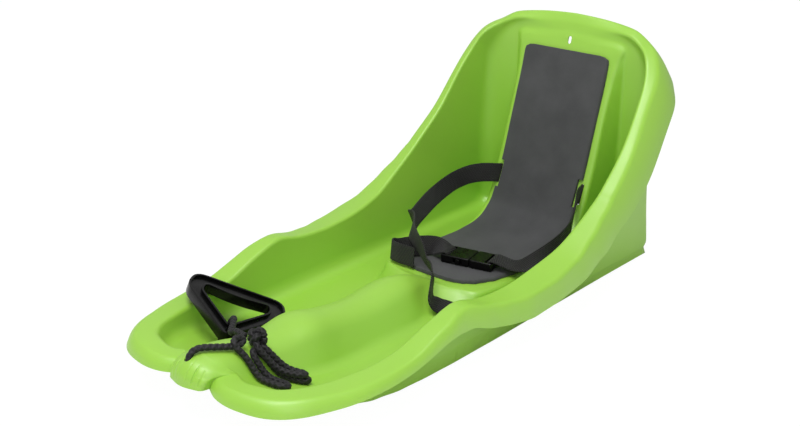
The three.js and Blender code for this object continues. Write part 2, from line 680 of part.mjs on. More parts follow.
function addBucklePiece(name, solid) {
  addPiece(name, toGeometry(solid).applyMatrix4(buckleMatrix), blackPlastic);
}
addBucklePiece('buckle_socket', socket);
addBucklePiece('buckle_plug', plug);
addBucklePiece('buckle_prong_rear', prongSolid(1));
addBucklePiece('buckle_prong_front', prongSolid(-1));

// Lap belt. Each route is a list of places in shares, each with the way the webbing's width points there.
const webSteps = 3;
const panelUp = new THREE.Vector3(0, Math.sin(lowerPanelLean), Math.cos(lowerPanelLean));
const panelBack = new THREE.Vector3(0, Math.cos(lowerPanelLean), -Math.sin(lowerPanelLean));

// The belt's slot in the panel at one side, and a place on the webbing that runs behind the panel
function beltSlot(side) {
  const [across, along, up] = beltSlotShares;
  return hullPoint([across * side, along, up]);
}

function behindPanel(x) {
  return settle(beltSlot(0).setX(x).addScaledVector(panelBack, cutDepth), panelBack.clone().negate(),
    layGap + webThickness / 2);
}

// From the back of the panel forward through its slot
function slotRoute(side) {
  const back = behindPanel(beltSlot(side).x);
  return [
    [back.clone().addScaledVector(panelBack, webThickness / 2), panelUp],
    [back.clone().addScaledVector(panelBack, -hullWall - 2 * layGap - webThickness), panelUp],
  ];
}

function routeFromShares(rows) {
  return rows.map(([place, side]) => [hullPoint(place), new THREE.Vector3(...side)]);
}

// Round a ladder bar at one end of the buckle: in below it, up through the slot and back over it
function barRoute(barX, outward) {
  const lift = buckleThickness / 2 + layGap + webThickness / 2;
  const inSlot = barX - outward * (buckleBar / 2 + webSlotWidth / 2);
  const side = alongBuckle(0, 1, 0);
  return [
    [inBuckle(inSlot, 0, buckleThickness / 4 - lift), side],
    [inBuckle(inSlot, 0, lift - buckleThickness / 4), side],
    [inBuckle(barX - outward * buckleBar / 4, 0, lift), side],
    [inBuckle(barX + outward * buckleBar, 0, lift), side],
  ];
}

const leftArchShares = [
  [[-.388, .352, .286], [0, .2, .98]],
  [[-.43, .331, .292], [-.1, .1, .99]],
  [[-.48, .305, .288], [-.1, 0, 1]],
  [[-.53, .272, .265], [-.1, 0, 1]],
  [[-.55, .228, .228], [-.25, .05, .95]],
  [[-.52, .182, .202], [-.3, -.1, .95]],
  [[-.47, .143, .19], [.1, -.5, .86]],
  [[-.4, .121, .221], [.4, -.6, .65]],
  [[-.334, .105, .237], [.6, -.7, .37]],
  [[-.265, .079, .224], [.75, -.55, .35]],
  [[-.177, .063, .209], [.8, -.45, .35]],
  [[-.088, .052, .188], [.8, -.45, .35]],
  [[-.025, .044, .162], [.75, -.55, .37]],
  [[.03, .038, .146], [.65, -.65, .4]],
  [[.088, .028, .139], [.6, -.7, .4]],
  [[.155, .008, .13], [.55, -.75, .37]],
  [[.206, -.01, .105], [.5, -.8, .25]],
  [[.228, -.016, .076], [.3, -.92, .1]],
  [[.26, -.01, .052], [.15, -.95, -.1]],
  [[.31, -.004, .044], [0, -.96, -.2]],
  [[.38, 0, .04], [0, -.97, -.15]],
  [[.45, .004, .04], [0, -.98, -.1]],
];
addPiece('belt_left_side', webGeometry([...slotRoute(-1), ...routeFromShares(leftArchShares)], webWidth, webThickness,
  webSteps), blackWebbing);

// The fold beside the seat. Its heights are above the buckle's middle, as shares of the buckle's thickness.
const leftFoldShares = [
  [[-.216, .125, .55], [-.3, .6, .74]],
  [[-.29, .087, .9], [-.2, .3, .93]],
  [[-.34, .067, .9], [0, .2, .97]],
  [[-.383, .063, .87], [.1, .1, .97]],
  [[-.365, .053, .93], [0, .1, .97]],
  [[-.29, .049, .93], [0, .1, .97]],
  [[-.2, .05, .91], [0, .1, .97]],
  [[-.15, .051, .9], [0, .1, .97]],
];
const foldRoute = leftFoldShares.map(([[across, along, up], side]) => [
  hullPoint([across, along, 0]).setZ(buckleCentre.z + up * buckleThickness),
  new THREE.Vector3(...side),
]);
addPiece('belt_left_lap', webGeometry([
  ...barRoute(socketEnd + buckleBar / 2, -1),
  ...foldRoute,
], webWidth, webThickness, webSteps), blackWebbing);

const rightLapShares = [
  [[.405, .158, .111], [-.35, .9, .1]],
  [[.49, .172, .122], [-.5, .75, .4]],
  [[.545, .198, .14], [-.5, .4, .75]],
  [[.56, .235, .162], [-.35, .15, .92]],
  [[.53, .277, .186], [0, 0, 1]],
  [[.47, .315, .214], [.1, .1, .99]],
  [[.415, .341, .242], [.05, .2, .97]],
  [[.384, .357, .264], [0, .28, .96]],
];
addPiece('belt_right_lap', webGeometry([
  ...barRoute(plugEnd - buckleBar / 2, 1),
  ...routeFromShares(rightLapShares),
  ...slotRoute(1).reverse(),
], webWidth, webThickness, webSteps), blackWebbing);

const backRunEnd = beltSlot(1).x - webThickness / 2 - 2 * layGap;
const backRunShares = [-1, -0.5, 0, 0.5, 1];
addPiece('belt_back_run', webGeometry(
  backRunShares.map((share) => [behindPanel(share * backRunEnd), panelUp]),
  webWidth,
  webThickness,
  webSteps,
), blackWebbing);

// Tow rope. Its places are shares in plan with a rise in rope widths, and it lies on the hull from there.
const ropeSides = 8;
const hankSides = 6;
const ropeLay = ropeRadius + 2 * layGap;
const hankLay = ropeRadius + layGap;

function laidRope(rows, stepsBetween, lay) {
  const plan = rows.map(([across, along, rise = 0]) => new THREE.Vector3(across, along, rise));
  const places = [];
  for (let step = 0; step <= (plan.length - 1) * stepsBetween; step += 1) {
    const { x, y, z } = curveAt(plan, step / stepsBetween);
    const place = settle(hullPoint([x, y, 0.5]), down, lay);
    places.push(place.setZ(place.z + z * ropeDiameter));
  }
  return places;
}

// The least distance between parts of a rope that aren't next to each other, less its width
function leastGap(places) {
  const apart = 6;
  let least = Infinity;
  places.forEach((place, index) => {
    for (let other = index + apart; other < places.length; other += 1) {
      least = Math.min(least, place.distanceTo(places[other]));
    }
  });
  return least - ropeDiameter;
}

// The hank: three flat loops side by side, from the hump's ridge down its right flank. Each strand runs
// between a place on the ridge and one in the footwell, and a turn joins it to the next strand.
const ridgeShares = [[.15, -.4155], [.19, -.394], [.19, -.379], [.187, -.364], [.187, -.349], [.187, -.334]];
const footwellShares = [[.385, -.402], [.385, -.387], [.375, -.371], [.37, -.356], [.36, -.34], [.35, -.325]];
const footwellTurnShare = 0.033;
const ridgeTurnShare = -0.02;
const hankStartShares = [[.0915, -.4302], [.107, -.4225]];
const hankShares = [...hankStartShares];
ridgeShares.forEach(([ridgeAcross, ridgeAlong], strand) => {
  const [footAcross, footAlong] = footwellShares[strand];
  const outwards = strand % 2 === 0;
  const run = [
    [ridgeAcross, ridgeAlong],
    [(ridgeAcross + footAcross) / 2, (ridgeAlong + footAlong) / 2],
    [footAcross, footAlong],
  ];
  hankShares.push(...(outwards ? run : run.reverse()));
  const ends = outwards ? footwellShares : ridgeShares;
  if (strand + 1 < ends.length) {
    const [from, to] = [ends[strand], ends[strand + 1]];
    const reach = outwards ? footwellTurnShare : ridgeTurnShare;
    hankShares.push([(from[0] + to[0]) / 2 + reach, (from[1] + to[1]) / 2]);
  }
});
const hankPlaces = laidRope(hankShares, 3, hankLay);
console.log('least gap between turns of the hank, mm:', leastGap(hankPlaces).toFixed(2));
addPiece('tow_rope_hank', ropeGeometry(hankPlaces, ropeRadius, hankSides, 1), blackRope);

// The knot on the hump's ridge, between the hank and the handle
const knotRadius = ropeDiameter * 1.4;
const knotShares = [.105, -.378, 0.5];
const knotPlace = settle(hullPoint(knotShares), down, knotRadius + layGap);
addPiece('tow_rope_knot', new THREE.IcosahedronGeometry(knotRadius, 2)
  .translate(knotPlace.x, knotPlace.y, knotPlace.z), blackRope);

// The lead comes up through the nose from a stopper knot under it
const stopperRadius = ropeDiameter * 1.05;
const noseTop = settle(hullPoint([ropeHoleShares[0], ropeHoleShares[1], 0.5]), down, 0.1 * layGap).z;
const stopperPlace = new THREE.Vector3(ropeHole.x, ropeHole.y, noseTop - 2 * hullWall - stopperRadius);
addPiece('tow_rope_stopper_knot', new THREE.IcosahedronGeometry(stopperRadius, 2)
  .translate(stopperPlace.x, stopperPlace.y, stopperPlace.z), blackRope);
const leadShares = [[-.012, -.471, .12], [.006, -.463, .05], [.03, -.455], [.055, -.446], [.074, -.4385], [.09, -.431]];
const leadPlaces = [
  new THREE.Vector3(ropeHole.x, ropeHole.y, stopperPlace.z + stopperRadius + buckleGap),
  new THREE.Vector3(ropeHole.x, ropeHole.y, noseTop),
  new THREE.Vector3(ropeHole.x, ropeHole.y + ropeRadius / 3, noseTop + ropeRadius),
  ...laidRope(leadShares, 1, ropeLay),
];
addPiece('tow_rope_lead', ropeGeometry(leadPlaces, ropeRadius, ropeSides, 2), blackRope);

// Pull handle: a flat moulded triangle with a grip along one side and hollowed faces. Its own frame has the
// grip along X and the corner that the rope holds at -Y.
const handleWidth = 136;
const handleHeight = 135;
const handleThickness = 13;
const handleBevel = 2.5;
const handleRim = 3;
const handlePocket = 4;
const handleOuterRound = 17;
const handleInnerRound = 7;
const handleOuterShares = [[-.45, 0], [.45, 0], [.5, -.28], [0, -1], [-.5, -.28]];
const handleInnerShares = [[-.32, -.16], [.32, -.16], [.335, -.29], [0, -.78], [-.335, -.29]];

// Where the handle rests on the hull, in plan, and the height of its middle there in handle thicknesses: at
// the grip's two ends, and near the rope's corner, which a turn of the rope lifts
const handleRestShares = [[-.786, -.3194, 1.62], [-.295, -.215, 1.02], [-.295, -.3477, 1]];
const restInset = 20;
const restMiddleShare = 0.464;

// Corners moved in by a distance, square to both of their sides
function movedIn(corners, distance) {
  return corners.map((corner, index) => {
    const before = corners[(index + corners.length - 1) % corners.length];
    const after = corners[(index + 1) % corners.length];
    const toBefore = before.clone().sub(corner).normalize();
    const toAfter = after.clone().sub(corner).normalize();
    const sine = Math.abs(toBefore.cross(toAfter));
    return corner.clone().addScaledVector(toBefore.add(toAfter), distance / sine);
  });
}

function roundedLoop(loop, corners, round) {
  corners.forEach((corner, index) => {
    const before = corners[(index + corners.length - 1) % corners.length];
    const after = corners[(index + 1) % corners.length];
    const start = corner.clone().add(before.clone().sub(corner).setLength(round));
    const end = corner.clone().add(after.clone().sub(corner).setLength(round));
    if (index === 0) {
      loop.moveTo(start.x, start.y);
    } else {
      loop.lineTo(start.x, start.y);
    }
    loop.quadraticCurveTo(corner.x, corner.y, end.x, end.y);
  });
  loop.closePath();
  return loop;
}

const handleCorners = (shares) => shares.map(([across, along]) => new THREE.Vector2(
  across * handleWidth,
  along * handleHeight,
));

function handlePlate(shares, moved, round, thickness, bevel) {
  const shape = roundedLoop(new THREE.Shape(), movedIn(handleCorners(shares), moved + bevel), round);
  const plate = new THREE.ExtrudeGeometry(shape, {
    depth: thickness - 2 * bevel,
    bevelEnabled: bevel > 0,
    bevelSize: bevel,
    bevelThickness: bevel,
    bevelSegments: 2,
    curveSegments: 5,
  });
  return toSolid(plate.translate(0, 0, bevel - thickness / 2));
}

function handleSolid() {
  const hollow = handlePlate(handleOuterShares, handleRim, handleOuterRound - handleRim, 2 * handlePocket, 0)
    .subtract(handlePlate(handleInnerShares, -handleRim, handleInnerRound + handleRim, handleThickness, 0));
  return handlePlate(handleOuterShares, 0, handleOuterRound, handleThickness, handleBevel)
    .subtract(handlePlate(handleInnerShares, 0, handleInnerRound, 2 * handleThickness, 0))
    .subtract(hollow.translate([0, 0, handleThickness / 2]))
    .subtract(hollow.translate([0, 0, -handleThickness / 2]));
}

const [restLeft, restRight, restRope] = handleRestShares.map(([across, along, up], index) => settle(
  hullPoint([across, along, 0.5]),
  down,
  up * handleThickness + (index === 2 ? ropeDiameter + 2 * layGap : 0),
));
const gripRun = restRight.clone().sub(restLeft).normalize();
const restMiddle = restLeft.clone().lerp(restRight, restMiddleShare);
const handleFace = gripRun.clone().cross(restMiddle.clone().sub(restRope)).normalize();
const handleUp = handleFace.clone().cross(gripRun);
const handleMatrix = new THREE.Matrix4()
  .makeBasis(gripRun, handleUp, handleFace)
  .setPosition(restMiddle.clone().addScaledVector(handleUp, restInset));
addPiece('pull_handle', toGeometry(handleSolid()).applyMatrix4(handleMatrix), blackPlastic);

// The rope's turn round the handle's corner. It lies on the hump from beside the knot, at places in plan with
// a rise in rope widths. Round the corner its places are shares across in rope widths, and along and up in
// half the corner bar's size with the rope on it.
const towardsHandleShares = [[.018, -.382], [-.055, -.379, .1], [-.115, -.373, .3]];
const turnShares = [
  [.5, -1.15, 1.3], [.5, 0, 1.18], [.35, .95, 1.1], [.1, 1.35, 0], [-.15, .95, -1.1], [-.35, 0, -1.18],
];

// The middle of a rounded corner at the handle's far end
function roundedTip(shares, round) {
  const [, , side, tip] = handleCorners(shares);
  const toSide = side.clone().sub(tip).setLength(round);
  return tip.y + toSide.y / 2;
}

const tipInner = roundedTip(handleInnerShares, handleInnerRound);
const tipOuter = roundedTip(handleOuterShares, handleOuterRound);
const barMiddle = (tipInner + tipOuter) / 2;
const turnAlong = (tipInner - tipOuter) / 2 + ropeRadius + handleBevel / 2;
const turnUp = handleThickness / 2 + ropeRadius + layGap;
const turnPlaces = [
  ...laidRope(towardsHandleShares, 1, ropeLay),
  ...turnShares.map(([across, along, up]) => new THREE.Vector3(
    across * ropeDiameter,
    barMiddle + along * turnAlong,
    up * turnUp,
  ).applyMatrix4(handleMatrix)),
];
addPiece('tow_rope_handle_loop', ropeGeometry(turnPlaces, ropeRadius, ropeSides, 3), blackRope);

// The sled stands with the middle of its length over the origin
const hullBox = new THREE.Box3().setFromObject(sled.getObjectByName('hull_shell'));
const shift = -(hullBox.min.y + hullBox.max.y) / 2;
sled.children.forEach((mesh) => mesh.geometry.translate(0, shift, 0));
console.log('moved along Y by, mm:', shift.toFixed(3));
console.log('pivots, mm:', [[prongPivotX, prongSide, 0], [prongPivotX, -prongSide, 0]]
  .map((place) => inBuckle(...place).add(new THREE.Vector3(0, shift, 0)).toArray().map((value) => value.toFixed(2))));
console.log('handle pivot, mm:', turnPlaces[0].clone()
  .add(new THREE.Vector3(0, shift, 0)).toArray().map((value) => value.toFixed(2)), 'axis', gripRun.toArray());

export default sled;
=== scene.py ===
# %% [markdown]
# # Baby pull sled
#
# A pull sled for a small child is one thin moulded hull. It has a long hump between two footwells, a seat,
# and a high back with a rolled rim. On it lie a foam pad, a webbing lap belt with a side release buckle,
# and a tow rope tied to a moulded handle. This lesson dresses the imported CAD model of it, piece by piece.
# Lengths are in metres, +Z is up, -Y is the nose and +X is the child's left, as in the CAD model.

# %% Load the CAD model as the frame
import math

import bmesh
import bpy
import numpy as np
from mathutils import Matrix, Vector
from mathutils.bvhtree import BVHTree


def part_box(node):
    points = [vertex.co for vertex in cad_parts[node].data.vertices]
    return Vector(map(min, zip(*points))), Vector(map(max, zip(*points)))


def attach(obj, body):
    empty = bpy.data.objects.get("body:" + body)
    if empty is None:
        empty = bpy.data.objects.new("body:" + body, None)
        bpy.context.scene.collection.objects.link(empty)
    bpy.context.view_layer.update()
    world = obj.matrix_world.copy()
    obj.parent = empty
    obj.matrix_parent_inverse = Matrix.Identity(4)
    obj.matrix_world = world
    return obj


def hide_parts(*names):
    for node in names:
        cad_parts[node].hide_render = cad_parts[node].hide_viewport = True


MM = 0.001
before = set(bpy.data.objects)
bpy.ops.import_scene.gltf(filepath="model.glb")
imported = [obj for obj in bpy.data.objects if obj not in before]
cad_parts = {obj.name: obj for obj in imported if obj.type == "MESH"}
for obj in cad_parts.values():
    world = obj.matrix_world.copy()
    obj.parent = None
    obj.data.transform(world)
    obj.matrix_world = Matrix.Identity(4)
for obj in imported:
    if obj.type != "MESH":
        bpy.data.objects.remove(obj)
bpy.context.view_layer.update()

# %% [markdown]
# ## Camera
#
# The photograph looks down at the near front corner. Lines of the hull that are parallel in reality give
# the place and the focal length. A lens of 53 mm on a 36 mm sensor shows the same perspective.

# %% Camera
def placed(name, data):
    """An object in the scene that shows some data: a mesh, a curve, a lamp or a camera."""
    made = bpy.data.objects.new(name, data)
    bpy.context.scene.collection.objects.link(made)
    return made


camera_data = bpy.data.cameras.new("photo_camera")
camera_data.sensor_width, camera_data.lens, camera_data.clip_end = 36, 53.33, 50
camera = placed("photo_camera", camera_data)
camera.location = (0.960, -1.147, 0.728)
camera.rotation_euler = (math.radians(68.4), 0, math.radians(40.6))
bpy.context.scene.camera = camera
print("camera at", tuple(camera.location))

# %% [markdown]
# ## Materials
#
# One function turns a colour as a designer writes it, a hex value, into the linear numbers that the
# shaders use. Another adds one node with its settings and links. Every finish below is made with these.

# %% Colour and node helpers
def linear(hex_colour):
    """Linear RGBA from an sRGB hex value such as '7fb535'."""
    parts = [int(hex_colour[i:i + 2], 16) / 255 for i in (0, 2, 4)]
    return [c / 12.92 if c <= 0.04045 else ((c + 0.055) / 1.055) ** 2.4 for c in parts] + [1.0]


def add(tree, kind, inputs=None, **settings):
    """Adds a node. A value in inputs is a number, a colour or the output socket of another node."""
    node = tree.nodes.new(kind)
    for key, value in settings.items():
        setattr(node, key, value)
    for key, value in (inputs or {}).items():
        if isinstance(value, bpy.types.NodeSocket):
            tree.links.new(value, node.inputs[key])
        else:
            node.inputs[key].default_value = value
    return node


def new_material(name):
    """A material with an empty node tree."""
    material = bpy.data.materials.new(name)
    material.use_nodes = True
    material.node_tree.nodes.clear()
    return material, material.node_tree


def end_material(tree, share, colours, height, strength, depth, look):
    """Ends a tree: one hex colour, or two mixed by a share, then a relief and one Principled shader."""
    base, *others = [linear(colour) for colour in colours]
    if others:
        base = add(tree, "ShaderNodeMix", {0: share, 6: base, 7: others[0]}, data_type="RGBA").outputs[2]
    bump = add(tree, "ShaderNodeBump", {"Height": height, "Strength": strength, "Distance": depth})
    bsdf = add(tree, "ShaderNodeBsdfPrincipled", {"Base Color": base, "Normal": bump.outputs[0], **look})
    add(tree, "ShaderNodeOutputMaterial", {"Surface": bsdf.outputs[0]})


# %% [markdown]
# The hull is high-density polyethylene, moulded in colour. The plastic is slightly waxy: light goes a
# little way in, so its shadows stay green. The surface is smooth with a soft gloss. Cooling leaves a very
# low orange-peel with about 12 mm between its crests.

# %% Moulded polyethylene
def polyethylene(name, light_hex, dark_hex):
    material, tree = new_material(name)
    place = add(tree, "ShaderNodeTexCoord").outputs["Object"]
    cloud, peel, grain = [
        add(tree, "ShaderNodeTexNoise", {"Vector": place, "Scale": scale, "Detail": detail}).outputs["Fac"]
        for scale, detail in ((6.0, 2.0), (1 / (12 * MM), 1.0), (1 / (1.2 * MM), 2.0))]
    height = add(tree, "ShaderNodeMath", {0: grain, 1: 0.12, 2: peel}, operation="MULTIPLY_ADD")
    end_material(tree, cloud, (light_hex, dark_hex), height.outputs[0], 0.12, 0.6 * MM, {
        "Roughness": 0.45, "IOR": 1.5, "Specular IOR Level": 0.8,
        "Subsurface Weight": 0.12, "Subsurface Radius": (0.004, 0.006, 0.001), "Subsurface Scale": 1.0})
    return material


green_plastic = polyethylene("moulded_polyethylene_lime", "94c540", "8cbe3a")

# %% [markdown]
# The pad is closed-cell EVA foam, cut from a sheet. It's matt and dark grey. Its fine cells catch a little
# light, and it's faintly blotchy where the sheet was cut from its block.

# %% EVA foam
def eva_foam(name, light_hex, dark_hex):
    material, tree = new_material(name)
    place = add(tree, "ShaderNodeTexCoord").outputs["Object"]
    blotch, cells = [
        add(tree, "ShaderNodeTexNoise", {"Vector": place, "Scale": 1 / (size * MM), "Detail": detail}).outputs["Fac"]
        for size, detail in ((45, 3.0), (1.1, 2.0))]
    share = add(tree, "ShaderNodeMath", {0: cells, 1: 0.35, 2: blotch}, operation="MULTIPLY_ADD")
    limited = add(tree, "ShaderNodeMapRange", {"Value": share.outputs[0], "From Min": 0.45, "From Max": 0.95})
    end_material(tree, limited.outputs[0], (dark_hex, light_hex), cells, 0.35, 0.25 * MM, {
        "Roughness": 0.72, "IOR": 1.48, "Specular IOR Level": 0.35, "Sheen Weight": 0.12, "Sheen Roughness": 0.6})
    return material


pad_foam = eva_foam("eva_foam_charcoal", "434345", "363638")

# %% [markdown]
# The belt is polypropylene webbing. Its yarns cross in a twill, which shows as fine slanted ribs. The
# ribs follow the strip, so they read the piece's own UV map, which holds metres along and across it. They
# are 3 mm apart, which is coarser than on real webbing, so that they show from where the camera stands.
# The ribs' troughs are painted darker than their crests, which is painted shade that follows the relief.

# %% Woven webbing
def webbing(name, light_hex, dark_hex, rib_pitch):
    material, tree = new_material(name)
    uv = add(tree, "ShaderNodeUVMap", uv_map="weave")
    parts = add(tree, "ShaderNodeSeparateXYZ", {0: uv.outputs[0]})
    slant = add(tree, "ShaderNodeMath", {0: parts.outputs["Y"], 1: 0.55}, operation="MULTIPLY")
    slanted = add(tree, "ShaderNodeMath", {0: parts.outputs["X"], 1: slant.outputs[0]}, operation="ADD")
    waves = []
    for way, pitch in ((slanted.outputs[0], rib_pitch), (parts.outputs["Y"], 0.9 * rib_pitch)):
        turns = add(tree, "ShaderNodeMath", {0: way, 1: 2 * math.pi / pitch}, operation="MULTIPLY")
        waves.append(add(tree, "ShaderNodeMath", {0: turns.outputs[0]}, operation="SINE").outputs[0])
    ribs, warp = waves
    woven = add(tree, "ShaderNodeMath", {0: warp, 1: 0.35, 2: ribs}, operation="MULTIPLY_ADD").outputs[0]
    # The colour follows the ribs' height: painted shade in the troughs, and lighter crests
    share = add(tree, "ShaderNodeMapRange", {"Value": woven, "From Min": -1.1, "From Max": 1.3})
    end_material(tree, share.outputs[0], (dark_hex, light_hex), woven, 0.9, 0.5 * MM, {
        "Roughness": 0.62, "IOR": 1.49, "Specular IOR Level": 0.35, "Sheen Weight": 0.06, "Sheen Roughness": 0.4})
    return material


# The dark colour is painted shade between the ribs
black_webbing = webbing("polypropylene_webbing_black", "2a2829", "010101", 3.0 * MM)

# %% [markdown]
# The tow rope is braided polyester. Its strands are modelled as low relief on the tube, three each way,
# which is coarser than on real rope. The material adds fine filaments, and it paints the gaps between
# strands darker, which is painted shade.

# %% Braided rope
def braid(name, light_hex, dark_hex):
    material, tree = new_material(name)
    relief = add(tree, "ShaderNodeAttribute", attribute_name="relief").outputs["Fac"]
    place = add(tree, "ShaderNodeTexCoord").outputs["Object"]
    fuzz = add(tree, "ShaderNodeTexNoise", {"Vector": place, "Scale": 1 / (0.5 * MM), "Detail": 2.0}).outputs["Fac"]
    # The colour follows the relief, so the gaps between strands get painted shade and the crests are lighter
    share = add(tree, "ShaderNodeMath", {0: fuzz, 1: 0.5, 2: relief}, operation="MULTIPLY_ADD")
    limited = add(tree, "ShaderNodeMapRange", {"Value": share.outputs[0], "From Min": 0.25, "From Max": 1.3})
    end_material(tree, limited.outputs[0], (dark_hex, light_hex), fuzz, 0.5, 0.3 * MM, {
        "Roughness": 0.6, "IOR": 1.5, "Specular IOR Level": 0.35, "Sheen Weight": 0.06, "Sheen Roughness": 0.45})
    return material


# The dark colour is painted shade in the gaps between the strands
black_rope = braid("braided_polyester_black", "1d1b1e", "020202")

# %% [markdown]
# Buckle and handle are injection moulded acetal and polypropylene in black. They're glossier than the
# hull, with a light grain that breaks up the highlights.

# %% Injection moulded black plastic
def moulded_black(name, hex_colour, roughness):
    material, tree = new_material(name)
    place = add(tree, "ShaderNodeTexCoord").outputs["Object"]
    cloud, grain = [
        add(tree, "ShaderNodeTexNoise", {"Vector": place, "Scale": 1 / (size * MM), "Detail": detail}).outputs["Fac"]
        for size, detail in ((9, 3.0), (0.7, 1.0))]
    rough = add(tree, "ShaderNodeMapRange", {"Value": cloud, "From Min": 0.3, "From Max": 0.7,
                                             "To Min": roughness - 0.05, "To Max": roughness + 0.08})
    end_material(tree, None, (hex_colour,), grain, 0.06, 0.1 * MM, {
        "IOR": 1.48, "Specular IOR Level": 0.2, "Roughness": rough.outputs[0]})
    return material


buckle_acetal = moulded_black("acetal_black_moulded", "060506", 0.3)
handle_plastic = moulded_black("polypropylene_black_moulded", "050505", 0.2)
print("materials:", [m.name for m in bpy.data.materials if m.use_nodes])

# %% [markdown]
# ## The hull's lines
#
# The hull's surface is lofted, as a boat's is. Each station is one section across it, with five points:
# the rim's inner edge, the outer and inner foot of the footwell, the shoulder of the back, seat or hump,
# and the middle. The rows run from the top of the back to the nose. They are shares of the half width, of
# the length and of the height, the same as in the CAD model, and smooth curves run through them.

# %% Sizes and stations
hull_length, hull_width, hull_height, hull_wall = 0.814, 0.407, 0.347, 0.003
hull_scale = np.array([hull_width / 2, hull_length, hull_height])
station_shares = np.array([
    [[0, .466, .963], [0, .464, .942], [0, .462, .925], [0, .459, .908], [0, .457, .888]],
    [[.305, .464, .96], [.256, .463, .939], [.221, .462, .919], [.187, .457, .89], [0, .453, .856]],
    [[.491, .457, .951], [.482, .463, .925], [.457, .464, .902], [.423, .457, .882], [0, .446, .804]],
    [[.624, .445, .919], [.619, .458, .865], [.472, .463, .836], [.423, .451, .818], [0, .437, .726]],
    [[.713, .424, .873], [.708, .457, .761], [.467, .463, .744], [.413, .441, .729], [0, .428, .651]],
    [[.757, .404, .804], [.732, .458, .64], [.462, .462, .628], [.413, .426, .62], [0, .415, .565]],
    [[.784, .371, .706], [.747, .458, .484], [.462, .461, .478], [.418, .409, .496], [0, .402, .464]],
    [[.801, .322, .562], [.757, .458, .303], [.462, .459, .3], [.423, .388, .343], [0, .382, .331]],
    [[.811, .264, .447], [.771, .462, .086], [.467, .463, .086], [.423, .361, .19], [0, .357, .19]],
    [[.811, .246, .415], [.774, .455, .032], [.464, .455, .032], [.423, .342, .13], [0, .34, .13]],
    [[.809, .225, .383], [.771, .424, .014], [.462, .424, .014], [.423, .313, .086], [0, .313, .086]],
    [[.802, .184, .326], [.762, .319, .014], [.457, .317, .014], [.423, .26, .063], [0, .26, .065]],
    [[.786, .138, .272], [.757, .209, .014], [.462, .203, .014], [.432, .184, .064], [0, .184, .064]],
    [[.769, .079, .239], [.752, .113, .014], [.472, .108, .014], [.447, .108, .074], [0, .111, .07]],
    [[.767, .016, .222], [.749, .031, .014], [.437, .044, .014], [.413, .053, .082], [0, .055, .078]],
    [[.764, -.031, .222], [.747, -.018, .014], [.344, .005, .014], [.256, .038, .082], [0, .033, .086]],
    [[.759, -.076, .233], [.744, -.061, .014], [.275, -.037, .014], [.093, .018, .095], [0, .02, .11]],
    [[.747, -.129, .261], [.742, -.117, .014], [.27, -.081, .014], [.133, -.052, .133], [0, -.037, .156]],
    [[.737, -.184, .231], [.737, -.178, .016], [.265, -.154, .017], [.133, -.145, .124], [0, -.138, .146]],
    [[.722, -.246, .183], [.727, -.24, .023], [.275, -.221, .023], [.138, -.211, .144], [0, -.206, .164]],
    [[.705, -.296, .167], [.713, -.292, .039], [.28, -.278, .037], [.157, -.268, .173], [0, -.263, .193]],
    [[.677, -.338, .164], [.683, -.332, .058], [.27, -.322, .055], [.143, -.319, .164], [0, -.314, .184]],
    [[.644, -.378, .166], [.634, -.372, .084], [.256, -.365, .078], [.128, -.361, .167], [0, -.359, .187]],
    [[.597, -.413, .173], [.57, -.407, .104], [.236, -.396, .098], [.128, -.394, .187], [0, -.396, .207]],
    [[.516, -.439, .176], [.482, -.43, .118], [.221, -.418, .115], [.128, -.421, .202], [0, -.424, .222]],
    [[.403, -.45, .176], [.383, -.441, .13], [.211, -.431, .133], [.133, -.437, .205], [0, -.441, .228]],
    [[.295, -.452, .174], [.285, -.445, .147], [.206, -.44, .151], [.133, -.45, .205], [0, -.455, .231]],
    [[.206, -.443, .173], [.204, -.441, .167], [.202, -.439, .161], [.133, -.459, .203], [0, -.466, .231]],
])
last_station = len(station_shares) - 1
nose_middle_shares = np.array([[0, -.466, .231], [0, -.489, .216], [0, -.502, .182], [0, -.506, .138]])
nose_shoulder_shares = np.array([[.133, -.459, .203], [.15, -.479, .192], [.15, -.491, .165], [.138, -.496, .138]])
nose_root_share = np.array([.205, -.44, .165])
print("stations:", len(station_shares))

# %% [markdown]
# The rolled rim outside these points has its own sizes, which change slowly along the hull. A short list
# of [station, share] pairs says how, and the values between two pairs are eased, so the rim has no kinks.

# %% The rim's sizes and the roundings along the hull
band_width, band_fall, skirt_depth, skirt_flare = 0.043, 0.014, 0.052, 0.022
band_width_shares = [[0, .25], [2, .4], [3, .46], [4, .46], [6, .37], [8, .49], [10, .58], [11, .72], [12, .88],
                     [13, 1], [14, .93], [15, .79], [16, .67], [17, .56], [18, .67], [19, .74], [21, .77],
                     [23, .67], [25, .6], [27, .55]]
band_fall_shares = [[0, -1.15], [2, -.65], [3, -.2], [5, .29], [12, .43], [14, .29], [17, 0], [27, 0]]
skirt_depth_shares = [[0, .7], [3, .9], [5, 1], [7, 1], [10, .85], [12, .73], [13, .63], [16, .56], [17, .54],
                      [18, .33], [19, .25], [21, .25], [24, .33], [27, .27]]
skirt_flare_shares = [[0, .45], [2, .7], [4, .6], [6, .62], [8, .5], [10, .36], [13, .14], [15, .27], [17, .36],
                      [19, .27], [22, .45], [24, .5], [27, .45]]
skirt_lean_shares = [[0, .25], [2, .35], [4, .6], [6, 1.05], [8, .85], [10, .7], [11, .55], [12, .35],
                     [13, .15], [15, -.05], [17, 0], [18, .2], [20, .1], [22, 0], [27, 0]]
skirt_crease_depth_share, skirt_crease_flare_share = 0.4, 0.62
shoulder_round, foot_round, wall_round, rim_round = 0.018, 0.012, 0.030, 0.006
shoulder_round_shares = [[0, .3], [11, .4], [15, .4], [17, .9], [27, 1]]
foot_round_shares = [[0, .4], [13, .6], [16, 1], [25, .8], [27, .1]]
wall_round_shares = [[0, .1], [2, .3], [4, 1], [7, 1], [9, .6], [11, .6], [14, .75], [20, .75], [23, .5], [27, .05]]


